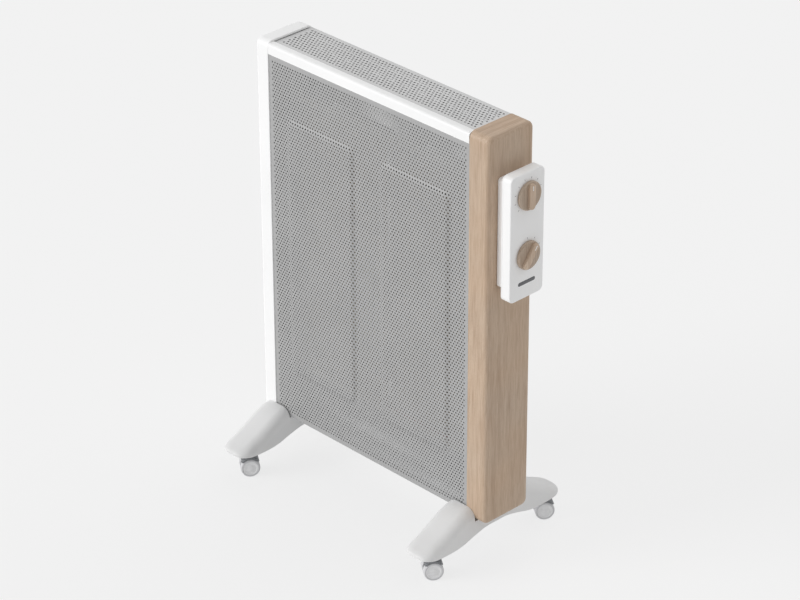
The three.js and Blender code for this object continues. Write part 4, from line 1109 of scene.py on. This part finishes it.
def dialKnob(name, jointName, degrees):
    # Turned disc with a shallow dish, a bar-shaped grip across it and a pointer line on the grip.
    # The bar is a rounded rectangle carried along X with a quarter-round top edge.
    node = f"{name}_knob"
    back = boxOf(node)[0][0]
    centre = np.array([back, *joints[jointName]["pos_m"][1:]])
    radius, disc, backEdge = knob["radius"], knob["disc"], knob["backEdge"]
    floor = disc - knob["dish"]
    profile = [(0.0, knob["core"]), (0.0, radius - backEdge), (backEdge, radius)]
    profile += [(disc - away, radius - inset)
                for away, inset in easedEdge(knob["edge"], knob["edgeSteps"])]
    profile += [(disc, knob["dishRadius"]), (floor, knob["dishRadius"] - knob["dishSlope"]),
                (floor, knob["dishCore"])]
    points, faceSets = lathe(profile, centre, 1, knob["sides"])
    makePiece(f"{name}_dial", points, faceSets, [node])

    stations = [(disc - knob["gripSunk"], 0.0)]
    stations += [(knob["gripTop"] - away, inset)
                 for away, inset in easedEdge(knob["gripEdge"], knob["gripSteps"])]
    endRadius = knob["gripWidth"] / 2 - knob["gripEndFlat"]
    points, faceSets = loft([plate(along, 0, knob["gripWidth"], knob["gripLength"], endRadius,
                                   knob["cornerSteps"], inset) for along, inset in stations])
    # The grip's paler wood is painted highlight
    makePiece(f"{name}_grip", turnAboutAxis(points + centre, centre, degrees), faceSets, [node], gripHighlightFoil)

    rise = knob["gripLength"] / 2 - knob["gripEdge"] - knob["markLength"] / 2 - knob["markInset"]
    points, faceSets = loft([plate(knob["gripTop"] + x, rise, knob["markWidth"], knob["markLength"],
                                   knob["markWidth"] * knob["markCornerShare"], knob["markSteps"])
                             for x in (-knob["markSunk"], knob["markRise"])])
    makePiece(f"{name}_pointer", turnAboutAxis(points + centre, centre, degrees), faceSets, [node],
              looks["white_plastic"])


dialKnob("thermostat", "thermostat_turn", knob["thermostatAt"])
dialKnob("power", "power_switch_turn", knob["powerAt"])

scale = {"radius": 0.0238, "width": 0.0007, "length": 0.0024, "rise": 0.00012, "sunk": 0.0002,
         "cornerShare": 0.3, "steps": 2, "thermostatTurns": range(-135, 136, 30),
         "powerTurns": range(-105, 1, 35)}


def dialScale(name, jointName, turns):
    # Printed ticks on the fascia: one low rounded bar, turned to each place round the knob
    front = boxOf("control_fascia")[1][0]
    centre = np.array([front, *joints[jointName]["pos_m"][1:]])
    ticks = []
    for turn in turns:
        points, faceSets = loft([plate(x, scale["radius"], scale["width"], scale["length"],
                                       scale["width"] * scale["cornerShare"], scale["steps"])
                                 for x in (-scale["sunk"], scale["rise"])])
        ticks.append((turnAboutAxis(points + centre, centre, turn), faceSets))
    makePiece(name, *together(*ticks), ["control_fascia"], markInk)


dialScale("thermostat_scale", "thermostat_turn", scale["thermostatTurns"])
dialScale("power_scale", "power_switch_turn", scale["powerTurns"])
print("controls made")
